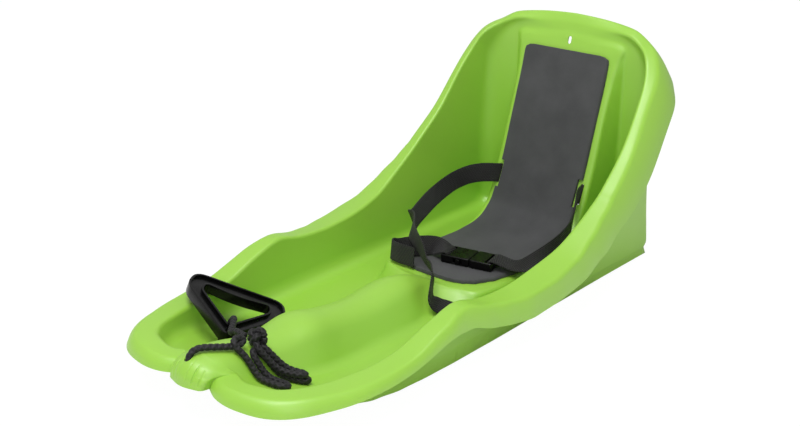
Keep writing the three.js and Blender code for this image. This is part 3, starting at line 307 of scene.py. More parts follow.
def curve_at(points, at):
    """The point at a place along a smooth curve through all the points."""
    last = len(points) - 1
    place = min(max(at, 0), last)
    i = min(int(place), last - 1)
    start, end = points[i], points[i + 1]
    before = points[i - 1] if i > 0 else 2 * start - end
    after = points[i + 2] if i < last - 1 else 2 * end - start
    t = place - i
    return 0.5 * (2 * start + (end - before) * t + (2 * before - 5 * start + 4 * end - after) * t ** 2
                  + (3 * start - before - 3 * end + after) * t ** 3)


def eased(pairs, at):
    """The eased value of a list of [station, share] pairs."""
    for (a, low), (b, high) in zip(pairs, pairs[1:]):
        if at <= b:
            t = min(max((at - a) / (b - a), 0), 1)
            return low + (high - low) * t * t * (3 - 2 * t)
    return pairs[-1][1]


def unit(vector):
    return vector / np.linalg.norm(vector)


def units(rows):
    """Every row of an array as a vector of length 1."""
    return rows / np.linalg.norm(rows, axis=1, keepdims=True)


def lengths_along(places):
    """The length from the first place to each one."""
    return np.concatenate([[0], np.cumsum(np.linalg.norm(np.diff(places, axis=0), axis=1))])


rim_line, outer_foot_line, inner_foot_line, shoulder_line, middle_line = [
    station_shares[:, k] * hull_scale for k in range(5)]
nose_middle, nose_shoulder = nose_middle_shares * hull_scale, nose_shoulder_shares * hull_scale
print("rim runs", round(float(lengths_along(rim_line)[-1]), 3), "m on each side")

# %% [markdown]
# ## The hull's skin
#
# A section gets its corners rounded with short curves. Seven sections for each station are plenty for a
# smooth highlight. The -X half is the +X one mirrored, and Solidify gives the skin its 3 mm wall.

# %% Sections
ROWS_PER_STATION = 7
CORNER_STEPS = 6
corner_side_share, skirt_round, rim_look = 0.46, 0.012, 0.15
crown_reach, crown_shares = 0.42, (0, 0.14, 0.28, 0.42)


def rounded_corner(before, corner, after, radius, steps=CORNER_STEPS):
    """Points of a curve that starts and ends one radius from the corner, or nearer on a short side."""
    in_length, out_length = np.linalg.norm(corner - before), np.linalg.norm(after - corner)
    back = min(radius, corner_side_share * in_length, corner_side_share * out_length)
    start = corner + (before - corner) * back / in_length
    end = corner + (after - corner) * back / out_length
    shares = [k / steps for k in range(steps + 1)]
    return [(1 - t) ** 2 * start + 2 * t * (1 - t) * corner + t * t * end for t in shares]


def band_points(at):
    """The rim's inner edge, its outer crease, the skirt's crease and the skirt's edge."""
    rim = curve_at(rim_line, at)
    run = curve_at(rim_line, at + rim_look) - curve_at(rim_line, at - rim_look)
    if at <= 0:
        run = np.array([1.0, 0, 0])
    out = unit(np.array([-run[1], run[0], 0]))
    fall = unit(np.array([0, eased(skirt_lean_shares, at), -1]))
    crease = (rim + out * band_width * eased(band_width_shares, at)
              + fall * band_fall * eased(band_fall_shares, at))
    depth = skirt_depth * eased(skirt_depth_shares, at)
    flare = skirt_flare * eased(skirt_flare_shares, at)
    skirt_crease = crease + out * flare * skirt_crease_flare_share + fall * depth * skirt_crease_depth_share
    return rim, crease, skirt_crease, crease + out * flare + fall * depth


def crown(middle, shoulder):
    """Points from the middle outwards, with the two halves' ridge rounded off."""
    points = []
    for across in crown_shares:
        fall = (across * across + crown_reach * crown_reach) / (2 * crown_reach)
        points.append(middle + (shoulder - middle) * np.array([across, fall, fall]))
    return points


def hull_section(at):
    rim, crease, skirt_crease, skirt_edge = band_points(at)
    outer_foot, inner_foot = curve_at(outer_foot_line, at), curve_at(inner_foot_line, at)
    shoulder, middle = curve_at(shoulder_line, at), curve_at(middle_line, at)
    return [
        *crown(middle, shoulder),
        *rounded_corner(middle, shoulder, inner_foot, shoulder_round * eased(shoulder_round_shares, at)),
        *rounded_corner(shoulder, inner_foot, outer_foot, foot_round * eased(foot_round_shares, at)),
        *rounded_corner(inner_foot, outer_foot, rim, wall_round * eased(wall_round_shares, at)),
        *rounded_corner(outer_foot, rim, crease, rim_round),
        *rounded_corner(rim, crease, skirt_crease, rim_round),
        *rounded_corner(crease, skirt_crease, skirt_edge, skirt_round),
        skirt_edge,
    ]


rows = [hull_section(k / ROWS_PER_STATION) for k in range(last_station * ROWS_PER_STATION + 1)]
print("sections:", len(rows), "of", len(rows[0]), "points")

# %% [markdown]
# The nose is a block of its own, because the sections there end in its side. Its rows start on the last
# section and bend down to its front.

# %% Skin
def mesh_from(name, points, faces):
    mesh = bpy.data.meshes.new(name)
    mesh.from_pydata([tuple(p) for p in points], [], faces)
    mesh.validate()
    return mesh


def modify(thing, kind, **settings):
    """Adds a modifier with its settings."""
    modifier = thing.modifiers.new(kind, kind)
    for key, value in settings.items():
        setattr(modifier, key, value)
    return modifier


def half_skin():
    """Points and four-cornered faces of the half on the +X side."""
    points, faces = [], []

    def strip(first, second):
        start = len(points)
        points.extend(first)
        points.extend(second)
        count = len(first)
        for k in range(1, count):
            faces.append((start + k - 1, start + count + k - 1, start + count + k, start + k))

    for first, second in zip(rows, rows[1:]):
        strip(first, second)
    foot_column = len(crown_shares) + CORNER_STEPS + 1
    previous = rows[-1][:foot_column + 1]
    count = len(rows[-1]) - 1 - foot_column
    for k in range(1, count + 1):
        place = k / count * (len(nose_middle) - 1)
        middle, shoulder = curve_at(nose_middle, place), curve_at(nose_shoulder, place)
        edge = rows[-1][foot_column + k]
        following = [*crown(middle, shoulder), *rounded_corner(middle, shoulder, edge, shoulder_round), edge]
        strip(previous, following)
        previous = following
    return points, faces


half_points, half_faces = half_skin()
half_count = len(half_points)
skin_points = half_points + [p * np.array([-1, 1, 1]) for p in half_points]
nose_root_reach = 0.034


def skin_object():
    """The skin with its wall. The nose block's root, where rows of both kinds meet, is smoothed."""
    faces = half_faces + [tuple(half_count + i for i in reversed(face)) for face in half_faces]
    skin = placed("hull_skin", mesh_from("hull_skin", skin_points, faces))
    modify(skin, "WELD", merge_threshold=0.02 * MM)
    root = nose_root_share * hull_scale
    group = skin.vertex_groups.new(name="nose_root")
    for i, point in enumerate(half_points):
        weight = min(1, 2 * max(0, 1 - np.linalg.norm(point - root) / nose_root_reach))
        if weight > 0:
            group.add([i, i + half_count], weight, "REPLACE")
    modify(skin, "SMOOTH", factor=0.5, iterations=14, vertex_group=group.name)
    modify(skin, "SOLIDIFY", thickness=hull_wall, offset=-1, use_even_offset=False)
    return skin


def baked(source, name):
    """A plain mesh object from another one with its modifiers applied. The other one is removed."""
    graph = bpy.context.evaluated_depsgraph_get()
    mesh = bpy.data.meshes.new_from_object(source.evaluated_get(graph))
    mesh.name = name
    mesh.materials.clear()
    bpy.data.objects.remove(source)
    return placed(name, mesh)


def finished(piece, material, body, slot, *nodes, sharp=50):
    """Gives a piece its one finish and its body, and hides the CAD nodes that it stands for."""
    mesh = piece.data
    mesh.materials.clear()
    mesh.materials.append(material)
    mesh.polygons.foreach_set("material_index", [0] * len(mesh.polygons))
    mesh.shade_smooth()
    mesh.set_sharp_from_angle(angle=math.radians(sharp))
    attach(piece, body)
    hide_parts(*nodes)
    print(piece.name, "faces:", len(mesh.polygons), "size, mm:", [round(v / MM, 1) for v in piece.dimensions])
    return piece


skin = skin_object()
raw_low = min(min(p[1] for row in rows for p in row), float(nose_middle[:, 1].min()))
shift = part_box("hull_shell")[0].y - raw_low
print("the CAD model's origin is moved along Y by", round(shift / MM, 2), "mm")

# %% [markdown]
# The tub stands on two solid runners, moulded under its outer feet. A runner is a row of cross-sections
# too, and a boolean joins it to the skin. Pegs then cut the hang slot near the top of the back, the belt's
# two slots, and the hole in the nose that the rope comes through.

# %% Runners, slots and the rope hole
runner_from, runner_to, runner_bevel, runner_rise = 9, 21, 0.003, 0.024
runner_rise_shares = [[0, 0], [15, 0], [16, .01], [17, .03], [18, .08], [19, .16], [20, .35], [21, .55]]
panel_lean, lower_panel_lean = math.radians(16.7), math.radians(22.5)
hang_slot_share, belt_slot_share, rope_hole_share = [0, .458, .888], [.37, .37, .277], [-.022, -.482, .22]
rope_diameter, web_width, web_thickness = 0.0085, 0.030, 0.0016
peg_length, belt_slot_play, belt_slot_width, rope_hole_play = 0.022, 0.002, 0.006, 0.0008
hang_slot_length, hang_slot_width, PEG_SIDES = 0.012, 0.0065, 32
diagonal_share = 0.707


def at_share(share):
    return np.array(share, float) * hull_scale


def belt_slot(side):
    return at_share(belt_slot_share) * [side, 1, 1]


def outward(mesh):
    """Faces of a closed mesh turned to point out of it."""
    shape = bmesh.new()
    shape.from_mesh(mesh)
    bmesh.ops.recalc_face_normals(shape, faces=shape.faces)
    if shape.calc_volume(signed=True) < 0:
        bmesh.ops.reverse_faces(shape, faces=shape.faces)
    shape.to_mesh(mesh)
    shape.free()
    return mesh


def tube_mesh(name, rings):
    """A closed tube through rings with the same number of points each."""
    count = len(rings[0])
    points = [p for ring in rings for p in ring]
    faces = [(k * count + a, k * count + (a + 1) % count, (k + 1) * count + (a + 1) % count, (k + 1) * count + a)
             for k in range(len(rings) - 1) for a in range(count)]
    faces.append(tuple(reversed(range(count))))
    faces.append(tuple(len(points) - count + a for a in range(count)))
    return outward(mesh_from(name, points, faces))


def tube(name, rings):
    return placed(name, tube_mesh(name, rings))


def removed(tools):
    for tool in tools:
        bpy.data.objects.remove(tool)


def runner(side):
    """One solid runner. Its top follows the rounded corner at the footwell's outer foot."""
    rings = []
    for k in range(runner_from * ROWS_PER_STATION, runner_to * ROWS_PER_STATION + 1):
        at = k / ROWS_PER_STATION
        foot = curve_at(outer_foot_line, at)
        first, middle, last = rounded_corner(curve_at(inner_foot_line, at), foot, curve_at(rim_line, at),
                                             wall_round * eased(wall_round_shares, at), 2)
        inset, base, outer = hull_wall / 2, runner_rise * eased(runner_rise_shares, at), foot[0] + hull_wall
        ring = [(outer - runner_bevel, first[1], base),
                (first[0], first[1], base),
                (first[0], first[1], first[2] - inset),
                (middle[0] + inset * diagonal_share, middle[1], middle[2] - inset * diagonal_share),
                (last[0] + inset, last[1], last[2]),
                (outer, last[1], base + runner_bevel)]
        rings.append([(x * side, y, z) for x, y, z in ring])
    return tube("runner", rings)


def leaning(place, lean):
    """A frame at a place, with its Y up a panel that leans back."""
    turn = Matrix.Rotation(math.pi / 2 - lean, 4, "X")
    turn.translation = Vector(place)
    return turn


def slot_peg(length, width, place, lean):
    """A peg with round ends, its long side up the leaning panel."""
    turn, ring = leaning(place, lean), []
    for k in range(PEG_SIDES):
        angle = 2 * math.pi * k / PEG_SIDES
        ring.append((width / 2 * math.cos(angle), width / 2 * math.sin(angle)
                     + math.copysign((length - width) / 2, math.sin(angle))))
    return tube("peg", [[turn @ Vector((x, y, z)) for x, y in ring] for z in (-peg_length / 2, peg_length / 2)])


def cut(body, operation, tools):
    for tool in tools:
        modify(body, "BOOLEAN", operation=operation, object=tool, solver="MANIFOLD")
        tool.hide_render = True


runners = [runner(side) for side in (-1, 1)]
pegs = [slot_peg(hang_slot_length, hang_slot_width, at_share(hang_slot_share), panel_lean)]
pegs += [slot_peg(web_width + belt_slot_play, belt_slot_width, belt_slot(side), lower_panel_lean) for side in (-1, 1)]
hole_width = rope_diameter + rope_hole_play
# A peg that is hardly longer than wide is round, and a lean of a right angle sets it upright
pegs.append(slot_peg(hole_width * 1.001, hole_width, at_share(rope_hole_share), math.pi / 2))
cut(skin, "UNION", runners)
cut(skin, "DIFFERENCE", pegs)

# %% [markdown]
# The nose has six shallow grooves, three on each side, that run down over its front. They repeat, so
# Geometry Nodes makes them: the script draws a line for each groove on the nose, and the node tree turns
# every line into a thin rod with a radius that is an input. The rods are then cut out of the skin.

# %% A node tree that turns lines into rods
def rods_tree():
    tree = bpy.data.node_groups.new("rods_along_lines", "GeometryNodeTree")
    face = tree.interface
    face.new_socket("Lines", in_out="INPUT", socket_type="NodeSocketGeometry")
    radius = face.new_socket("Radius", in_out="INPUT", socket_type="NodeSocketFloat")
    radius.default_value = 1 * MM
    face.new_socket("Finish", in_out="INPUT", socket_type="NodeSocketMaterial")
    face.new_socket("Rods", in_out="OUTPUT", socket_type="NodeSocketGeometry")
    given = add(tree, "NodeGroupInput")
    even = add(tree, "GeometryNodeResampleCurve", {"Curve": given.outputs["Lines"], "Count": 24})
    ring = add(tree, "GeometryNodeCurvePrimitiveCircle", {"Resolution": 12, "Radius": given.outputs["Radius"]})
    tube = add(tree, "GeometryNodeCurveToMesh", {"Curve": even.outputs[0], "Profile Curve": ring.outputs[0],
                                                "Fill Caps": True})
    real = add(tree, "GeometryNodeRealizeInstances", {"Geometry": tube.outputs[0]})
    coloured = add(tree, "GeometryNodeSetMaterial", {"Geometry": real.outputs[0],
                                                     "Material": given.outputs["Finish"]})
    add(tree, "NodeGroupOutput", {"Rods": coloured.outputs[0]})
    return tree


def lines_object(name, lines):
    curve = bpy.data.curves.new(name, "CURVE")
    curve.dimensions = "3D"
    for line in lines:
        spline = curve.splines.new("POLY")
        spline.points.add(len(line) - 1)
        spline.points.foreach_set("co", [v for point in line for v in (*point, 1.0)])
    return placed(name, curve)


def grown(source, tree, name, **inputs):
    """Runs a node tree on an object and keeps the result as a plain mesh."""
    modifier = modify(source, "NODES", node_group=tree)
    for item in tree.interface.items_tree:
        if item.item_type == "SOCKET" and item.in_out == "INPUT" and item.name in inputs:
            modifier[item.identifier] = inputs[item.name]
    return baked(source, name)


# %% Grooves in the nose
groove_shares, groove_from, groove_to, groove_radius = [-.8, -.52, -.24, .24, .52, .8], 0.75, 2.7, 1.4 * MM
groove_rise, groove_end_rise, groove_slant, GROOVE_STEPS = 0.3 * MM, 1.2 * MM, 0.7, 12


def groove_line(across):
    """One groove's middle line. It rises at both ends, so that the groove runs out there."""
    line = []
    for k in range(GROOVE_STEPS + 1):
        place = groove_from + (groove_to - groove_from) * k / GROOVE_STEPS
        middle, shoulder = curve_at(nose_middle, place), curve_at(nose_shoulder, place)
        point = middle + (shoulder - middle) * abs(across)
        rise = groove_slant * (groove_rise + groove_end_rise * abs(2 * k / GROOVE_STEPS - 1) ** 4)
        line.append((math.copysign(point[0], across), point[1] - rise, point[2] + rise))
    return line


groove_lines = [groove_line(across) for across in groove_shares]
grooves = grown(lines_object("groove_lines", groove_lines), rods_tree(), "grooves", Radius=groove_radius,
                Finish=green_plastic)
outward(grooves.data)
cut(skin, "DIFFERENCE", [grooves])
print("grooves:", len(groove_lines), "rods with", len(grooves.data.polygons), "faces")

# %% The finished hull
modify(skin, "BEVEL", width=0.8 * MM, segments=2, limit_method="ANGLE", angle_limit=math.radians(50))
hull = baked(skin, "hull")
removed(runners + pegs + [grooves])
hull.data.transform(Matrix.Translation((0, shift, 0)))
finished(hull, green_plastic, "sled", "green_plastic", "hull_shell", sharp=48)

# %% [markdown]
# ## Laying things on the hull
#
# Pad, belt and rope lie on the hull. To lay a point, it moves along a direction until it's a wanted
# distance from the nearest face. A tree of the upper skin's faces, without walls or slots, answers that
# question fast.

# %% Settling
to_row = np.array([0, shift, 0])
skin_tree = BVHTree.FromPolygons([tuple(p + to_row) for p in skin_points],
                                 half_faces + [tuple(i + half_count for i in face) for face in half_faces])
down = (0, 0, -1)
SETTLE_STEPS, search_reach, long_step = 60, 0.2, 0.05


def on_row(share):
    """A share of the hull's sizes as a place, moved along Y with the hull."""
    return at_share(share) + to_row


def settle(point, direction, clearance):
    place, way = np.array(point, float), unit(np.array(direction, float))
    for _ in range(SETTLE_STEPS):
        distance = skin_tree.find_nearest(Vector(place), search_reach)[3]
        place = place + way * ((long_step if distance is None else distance) - clearance)
    return place


print("hull top under the middle of the seat at z =", round(settle((0, 0.15, 0.3), down, 0)[2], 4))

# %% [markdown]
# ## Seat pad
#
# The pad is a foam mat in the bend of back and seat, cut round at both ends and notched where the belt
# comes through the panel. It's a fine grid laid on the hull, with a thickness and a soft edge all round.

# %% Seat pad
pad_half_width, pad_thickness, pad_gap = 0.082, 0.005, 0.0006
pad_body_from, pad_body_to, pad_soft_edge, pad_edge_share, pad_row_length = 2, 12.6, 0.003, 0.55, 0.0012
PAD_BACK_ROWS, PAD_BODY_ROWS, PAD_FRONT_ROWS, PAD_COLUMNS, crowding = 14, 100, 26, 46, 1.6
notch_length, notch_height, notch_depth, notch_start = pad_half_width / 2, 0.043, 0.022, 0.007
pad_width_shares = [[1.22, .73], [1.3, .83], [1.5, .9], [1.8, .915], [4, .915], [6, .915], [8.2, .915], [8.7, .92],
                    [9.2, .925], [9.7, .93], [10.3, .94], [11, .97], [12, 1], [12.97, .93], [13.2, .86], [13.5, .79],
                    [13.8, .63], [13.95, .48], [14.05, .34]]


def pad_surface(across, station, height):
    run = curve_at(middle_line, station + 0.1) - curve_at(middle_line, station - 0.1)
    to_hull = unit(np.array([0, -run[2], run[1]]))
    start = curve_at(middle_line, station) + to_row - to_hull * 2 * pad_thickness
    start[0] = across * pad_half_width * eased(pad_width_shares, station)
    return settle(start, to_hull, pad_gap) - to_hull * height


def pad_rows():
    """Where the pad's rows lie, in stations. They crowd at both ends, where the outline is round."""
    first, last = pad_width_shares[0][0], pad_width_shares[-1][0]
    back = [first + (pad_body_from - first) * (k / PAD_BACK_ROWS) ** crowding for k in range(PAD_BACK_ROWS)]
    body = [pad_body_from + (pad_body_to - pad_body_from) * k / PAD_BODY_ROWS for k in range(PAD_BODY_ROWS)]
    front = [last - (last - pad_body_to) * (1 - k / PAD_FRONT_ROWS) ** crowding for k in range(PAD_FRONT_ROWS + 1)]
    return back + body + front


def edge_profile(inset):
    """Share of the full thickness at a distance from the pad's edge."""
    t = min(max(inset / pad_soft_edge, 0), 1)
    return pad_edge_share + (1 - pad_edge_share) * math.sqrt(max(0, 1 - (1 - t) ** 2))


def pad_mesh():
    columns = [-1 + 2 * k / PAD_COLUMNS for k in range(PAD_COLUMNS + 1)]
    columns = [math.sin(c * math.pi / 2) * 0.35 + c * 0.65 for c in columns]
    stations = pad_rows()
    lower, upper, count = [], [], len(columns)
    for row, station in enumerate(stations):
        width = pad_half_width * eased(pad_width_shares, station)
        for c in columns:
            from_ends = min(row, len(stations) - 1 - row) * pad_row_length
            inset = min((1 - abs(c)) * width, from_ends)
            lower.append(pad_surface(c, station, 0))
            upper.append(pad_surface(c, station, pad_thickness * edge_profile(inset)))
    total = len(lower)
    faces = []
    for row in range(len(stations) - 1):
        for k in range(count - 1):
            a = row * count + k
            faces.append((a, a + 1, a + count + 1, a + count))
            faces.append(tuple(total + i for i in (a, a + count, a + count + 1, a + 1)))
    rim = [k for k in range(count)] + [row * count + count - 1 for row in range(1, len(stations))]
    rim += [total - 1 - k for k in range(1, count)] + [row * count for row in range(len(stations) - 2, 0, -1)]
    for a, b in zip(rim, rim[1:] + rim[:1]):
        faces.append((a, b, total + b, total + a))
    return outward(mesh_from("seat_pad", lower + upper, faces))


def notch(side):
    """A box round a belt slot that reaches out past the pad's edge."""
    place = belt_slot(side) + to_row
    place[0] += side * (notch_length / 2 - notch_start)
    turn = leaning(place, lower_panel_lean)
    return tube("notch", [[turn @ Vector((x * notch_length / 2, y * notch_height / 2, z * notch_depth / 2))
                           for x, y in ((-1, -1), (1, -1), (1, 1), (-1, 1))] for z in (-1, 1)])


pad_source = placed("pad_source", pad_mesh())
notches = [notch(side) for side in (-1, 1)]
cut(pad_source, "DIFFERENCE", notches)
pad = baked(pad_source, "seat_pad_foam")
removed(notches)
finished(pad, pad_foam, "sled", "pad_foam", "seat_pad")

# %% [markdown]
# ## Buckle
#
# The side release buckle comes from the CAD model, whose shapes are right but whose edges are razor sharp.
# Moulded acetal has small rounded edges that catch the light, so each piece is a merged copy with a bevel.

# %% Buckle
def softened_copy(node, name, width):
    """A merged copy of a CAD mesh with its sharp edges rounded."""
    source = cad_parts[node]
    mesh = source.data.copy()
    mesh.transform(source.matrix_world)
    copy = placed(name, mesh)
    modify(copy, "WELD", merge_threshold=0.01 * MM)
    modify(copy, "DECIMATE", decimate_type="DISSOLVE", angle_limit=math.radians(2))
    modify(copy, "BEVEL", width=width, segments=2, limit_method="ANGLE", angle_limit=math.radians(28))
    return baked(copy, name)


buckle_bodies = {"buckle_socket": "sled", "buckle_plug": "sled",
                 "buckle_prong_rear": "prong_rear", "buckle_prong_front": "prong_front"}
for node, body in buckle_bodies.items():
    finished(softened_copy(node, node + "_acetal", 0.5 * MM), buckle_acetal, body, "black_plastic", node, sharp=40)

# %% [markdown]
# ## Lap belt
#
# Each length of webbing is a flat strip swept along a route. A route is a list of places, in shares of the
# hull's sizes, each with the way in which the webbing's width points there. Webbing can't bend sharply
# within its own plane, so the width's direction is eased along the strip. The strip's UV map holds metres
# along and across, and the twill in the material follows it.

# %% The buckle's place and the belt's slots
buckle_thickness, buckle_lift, lay_gap = 0.012, 0.0016, 0.0007
buckle_bar, web_slot_width, socket_length, plug_length, buckle_gap = 0.005, 0.007, 0.045, 0.035, 0.0003
behind_start = 0.022
buckle_centre = settle(on_row([.086, .137, .5]), down, pad_gap + pad_thickness + buckle_lift + buckle_thickness / 2)
buckle_frame = Matrix.Rotation(math.radians(12.5), 4, "Z")
buckle_frame.translation = Vector(buckle_centre)
panel_up = np.array([0, math.sin(lower_panel_lean), math.cos(lower_panel_lean)])
panel_back = np.array([0, math.cos(lower_panel_lean), -math.sin(lower_panel_lean)])
join_x = (socket_length - plug_length) / 2
socket_end, plug_end = join_x - socket_length, join_x + buckle_gap + plug_length


def in_buckle(x, y, z):
    return np.array(buckle_frame @ Vector((x, y, z)))


def behind_panel(x):
    """A place for webbing on the back of the panel."""
    start = on_row([0, *belt_slot_share[1:]]) + panel_back * behind_start
    start[0] = x
    return settle(start, -panel_back, hull_wall + lay_gap + web_thickness / 2)


def slot_route(side):
    back = behind_panel(belt_slot(side)[0])
    return [(back + panel_back * web_thickness / 2, panel_up),
            (back - panel_back * (hull_wall + 2 * lay_gap + web_thickness), panel_up)]


def bar_route(bar_x, way):
    """In below a buckle's end bar, up through its slot and back over it."""
    lift = buckle_thickness / 2 + lay_gap + web_thickness / 2
    in_slot = bar_x - way * (buckle_bar / 2 + web_slot_width / 2)
    across = np.array(buckle_frame.to_3x3() @ Vector((0, 1, 0)))
    return [(in_buckle(in_slot, 0, buckle_thickness / 4 - lift), across),
            (in_buckle(in_slot, 0, lift - buckle_thickness / 4), across),
            (in_buckle(bar_x - way * buckle_bar / 4, 0, lift), across),
            (in_buckle(bar_x + way * buckle_bar, 0, lift), across)]


def route_from(rows):
    return [(on_row(place), np.array(side, float)) for place, side in rows]


print("buckle centre:", [round(float(v), 4) for v in buckle_centre])

# %% A strip of webbing along a route
WEB_STEPS, WEB_COLUMNS, web_look = 14, 6, 0.02


def strip_outline(width, thickness):
    """The strip's cross-section, with soft selvedges: pairs of across and out."""
    flat = width / 2 - thickness / 2
    lower = [(-flat + 2 * flat * k / WEB_COLUMNS, -thickness / 2) for k in range(WEB_COLUMNS + 1)]
    right = [(flat + math.cos(a) * thickness / 2, math.sin(a) * thickness / 2)
             for a in (-math.pi / 4, 0, math.pi / 4)]
    upper = [(-across, thickness / 2) for across, _ in lower]
    left = [(-across, -out) for across, out in right]
    return lower + right + upper + left


def web_strip(name, route, *nodes):
    """A finished strip along a route. Its width's direction is eased, and its UV map holds metres."""
    middles, widths = np.array([point for point, _ in route]), np.array([side for _, side in route])
    last = len(route) - 1
    stations = [k / WEB_STEPS for k in range(last * WEB_STEPS + 1)]
    places = np.array([curve_at(middles, at) for at in stations])
    runs = np.array([unit(curve_at(middles, min(at + web_look, last)) - curve_at(middles, max(at - web_look, 0)))
                     for at in stations])
    sides = np.array([curve_at(widths, at) for at in stations])
    sides = units(sides - runs * (sides * runs).sum(axis=1, keepdims=True))
    for _ in range(round(4 * (WEB_STEPS / 3) ** 2)):
        sides = units(sides + np.vstack([sides[:1], sides[:-1]]) + np.vstack([sides[1:], sides[-1:]]))
    faces_out = units(np.cross(runs, sides))
    outline = strip_outline(web_width, web_thickness)
    rings = [[p + s * across + n * out for across, out in outline] for p, s, n in zip(places, sides, faces_out)]
    mesh, along = tube_mesh(name, rings), lengths_along(places)
    uv = mesh.uv_layers.new(name="weave").data
    for loop in mesh.loops:
        ring, corner = divmod(loop.vertex_index, len(outline))
        uv[loop.index].uv = (along[ring], outline[corner][0])
    print(name, "runs", round(float(along[-1]), 3), "m")
    return finished(placed(name, mesh), black_webbing, "sled", "black_webbing", *nodes, sharp=60)


# %% The belt's four lengths
left_arch = [
    [[-.388, .352, .286], [0, .2, .98]], [[-.43, .331, .292], [-.1, .1, .99]], [[-.48, .305, .288], [-.1, 0, 1]],
    [[-.53, .272, .265], [-.1, 0, 1]], [[-.55, .228, .228], [-.25, .05, .95]], [[-.52, .182, .202], [-.3, -.1, .95]],
    [[-.47, .143, .19], [.1, -.5, .86]], [[-.4, .121, .221], [.4, -.6, .65]], [[-.334, .105, .237], [.6, -.7, .37]],
    [[-.265, .079, .224], [.75, -.55, .35]], [[-.177, .063, .209], [.8, -.45, .35]],
    [[-.088, .052, .188], [.8, -.45, .35]], [[-.025, .044, .162], [.75, -.55, .37]],
    [[.03, .038, .146], [.65, -.65, .4]], [[.088, .028, .139], [.6, -.7, .4]], [[.155, .008, .13], [.55, -.75, .37]],
    [[.206, -.01, .105], [.5, -.8, .25]], [[.228, -.016, .076], [.3, -.92, .1]],
    [[.26, -.01, .052], [.15, -.95, -.1]], [[.31, -.004, .044], [0, -.96, -.2]], [[.38, 0, .04], [0, -.97, -.15]],
    [[.45, .004, .04], [0, -.98, -.1]],
]
web_strip("belt_left_side_webbing", slot_route(-1) + route_from(left_arch), "belt_left_side")
left_fold = [
    [[-.216, .125, .55], [-.3, .6, .74]], [[-.29, .087, .9], [-.2, .3, .93]], [[-.34, .067, .9], [0, .2, .97]],
    [[-.383, .063, .87], [.1, .1, .97]], [[-.365, .053, .93], [0, .1, .97]], [[-.29, .049, .93], [0, .1, .97]],
    [[-.2, .05, .91], [0, .1, .97]], [[-.15, .051, .9], [0, .1, .97]],
]
fold_route = []
for (across, along, up), side in left_fold:
    place = on_row([across, along, 0])
    place[2] = buckle_centre[2] + up * buckle_thickness
    fold_route.append((place, np.array(side, float)))
web_strip("belt_left_lap_webbing", bar_route(socket_end + buckle_bar / 2, -1) + fold_route, "belt_left_lap")
right_lap = [
    [[.405, .158, .111], [-.35, .9, .1]], [[.49, .172, .122], [-.5, .75, .4]], [[.545, .198, .14], [-.5, .4, .75]],
    [[.56, .235, .162], [-.35, .15, .92]], [[.53, .277, .186], [0, 0, 1]], [[.47, .315, .214], [.1, .1, .99]],
    [[.415, .341, .242], [.05, .2, .97]], [[.384, .357, .264], [0, .28, .96]],
]
web_strip("belt_right_lap_webbing", bar_route(plug_end - buckle_bar / 2, 1) + route_from(right_lap)
          + slot_route(1)[::-1], "belt_right_lap")
back_end = belt_slot(1)[0] - web_thickness / 2 - 2 * lay_gap
web_strip("belt_back_run_webbing", [(behind_panel(share * back_end), panel_up) for share in (-1, -.5, 0, .5, 1)],
          "belt_back_run")

# %% [markdown]
# ## Tow rope
#
# The rope is one braided cord. It comes up through the nose, lies back over the hump, and makes one turn
# beside the knot. Then it winds down and up the hump's +X flank six times. The last two runs lie on the
# other four, and a short tail leads towards the handle. The braid is real relief on the tube: two sets of
# strands wind round it in opposite directions, and each passes over and under the other. An attribute
# keeps the height, so that the material can paint the gaps between the strands darker, as painted shade.

# %% A braided tube along a path
strands, stitch_share, braid_depth = 3, 0.85, 1.3 * MM
CURVE_STEPS, END_RINGS, first_ring = 24, 4, 0.3


def resampled(points, step):
    """Evenly spaced places along a smooth curve through the points."""
    fine = np.array([curve_at(points, k / CURVE_STEPS) for k in range((len(points) - 1) * CURVE_STEPS + 1)])
    lengths = lengths_along(fine)
    count = max(8, int(lengths[-1] / step))
    return np.array([[np.interp(lengths[-1] * k / count, lengths, fine[:, i]) for i in range(3)]
                     for k in range(count + 1)]), lengths[-1]


def carried_frames(places):
    """Two directions square to the path at each place, without twist from one place to the next."""
    runs = units(np.gradient(places, axis=0))
    first = np.cross(runs[0], [0, 0, 1.0])
    if np.linalg.norm(first) < 0.1:
        first = np.cross(runs[0], [1.0, 0, 0])
    firsts = [unit(first)]
    for run in runs[1:]:
        firsts.append(unit(firsts[-1] - run * firsts[-1].dot(run)))
    firsts = np.array(firsts)
    return firsts, np.cross(runs, firsts)


def braid_height(turn, along, diameter):
    """Relief from 0 to 1 of a braid, at angles round it and metres along it."""
    wave = 2 * math.pi * along / (diameter * stitch_share)
    one, other = np.cos(strands * turn + wave), np.cos(strands * turn - wave)
    over = 0.5 + 0.5 * np.sin(wave)
    return np.clip(0.5 + 0.5 * np.maximum(one * (0.6 + 0.4 * over), other * (1 - 0.4 * over)), 0, 1)


def braided(name, points, diameter, step=0.55 * MM, sides=40):
    """A braided tube with round ends. Also gives its evenly spaced places and its length."""
    places, length = resampled(points, step)
    first, second = carried_frames(places)
    turn = np.linspace(0, 2 * math.pi, sides, endpoint=False)
    along = np.linspace(0, length, len(places))
    height = braid_height(turn[None, :], along[:, None], diameter)
    radius = diameter / 2 - braid_depth * (1 - height)
    for k in range(END_RINGS):
        end_share = math.sqrt(1 - (1 - (k + first_ring) / END_RINGS) ** 2)
        radius[k] *= end_share
        radius[-1 - k] *= end_share
    rings = places[:, None, :] + radius[:, :, None] * (
        np.cos(turn)[None, :, None] * first[:, None, :] + np.sin(turn)[None, :, None] * second[:, None, :])
    mesh = tube_mesh(name, rings)
    # The height is kept for the material, which paints the gaps between strands darker as painted shade
    relief = mesh.attributes.new("relief", "FLOAT", "POINT")
    relief.data.foreach_set("value", height.ravel().astype(np.float32))
    return placed(name, mesh), places, length


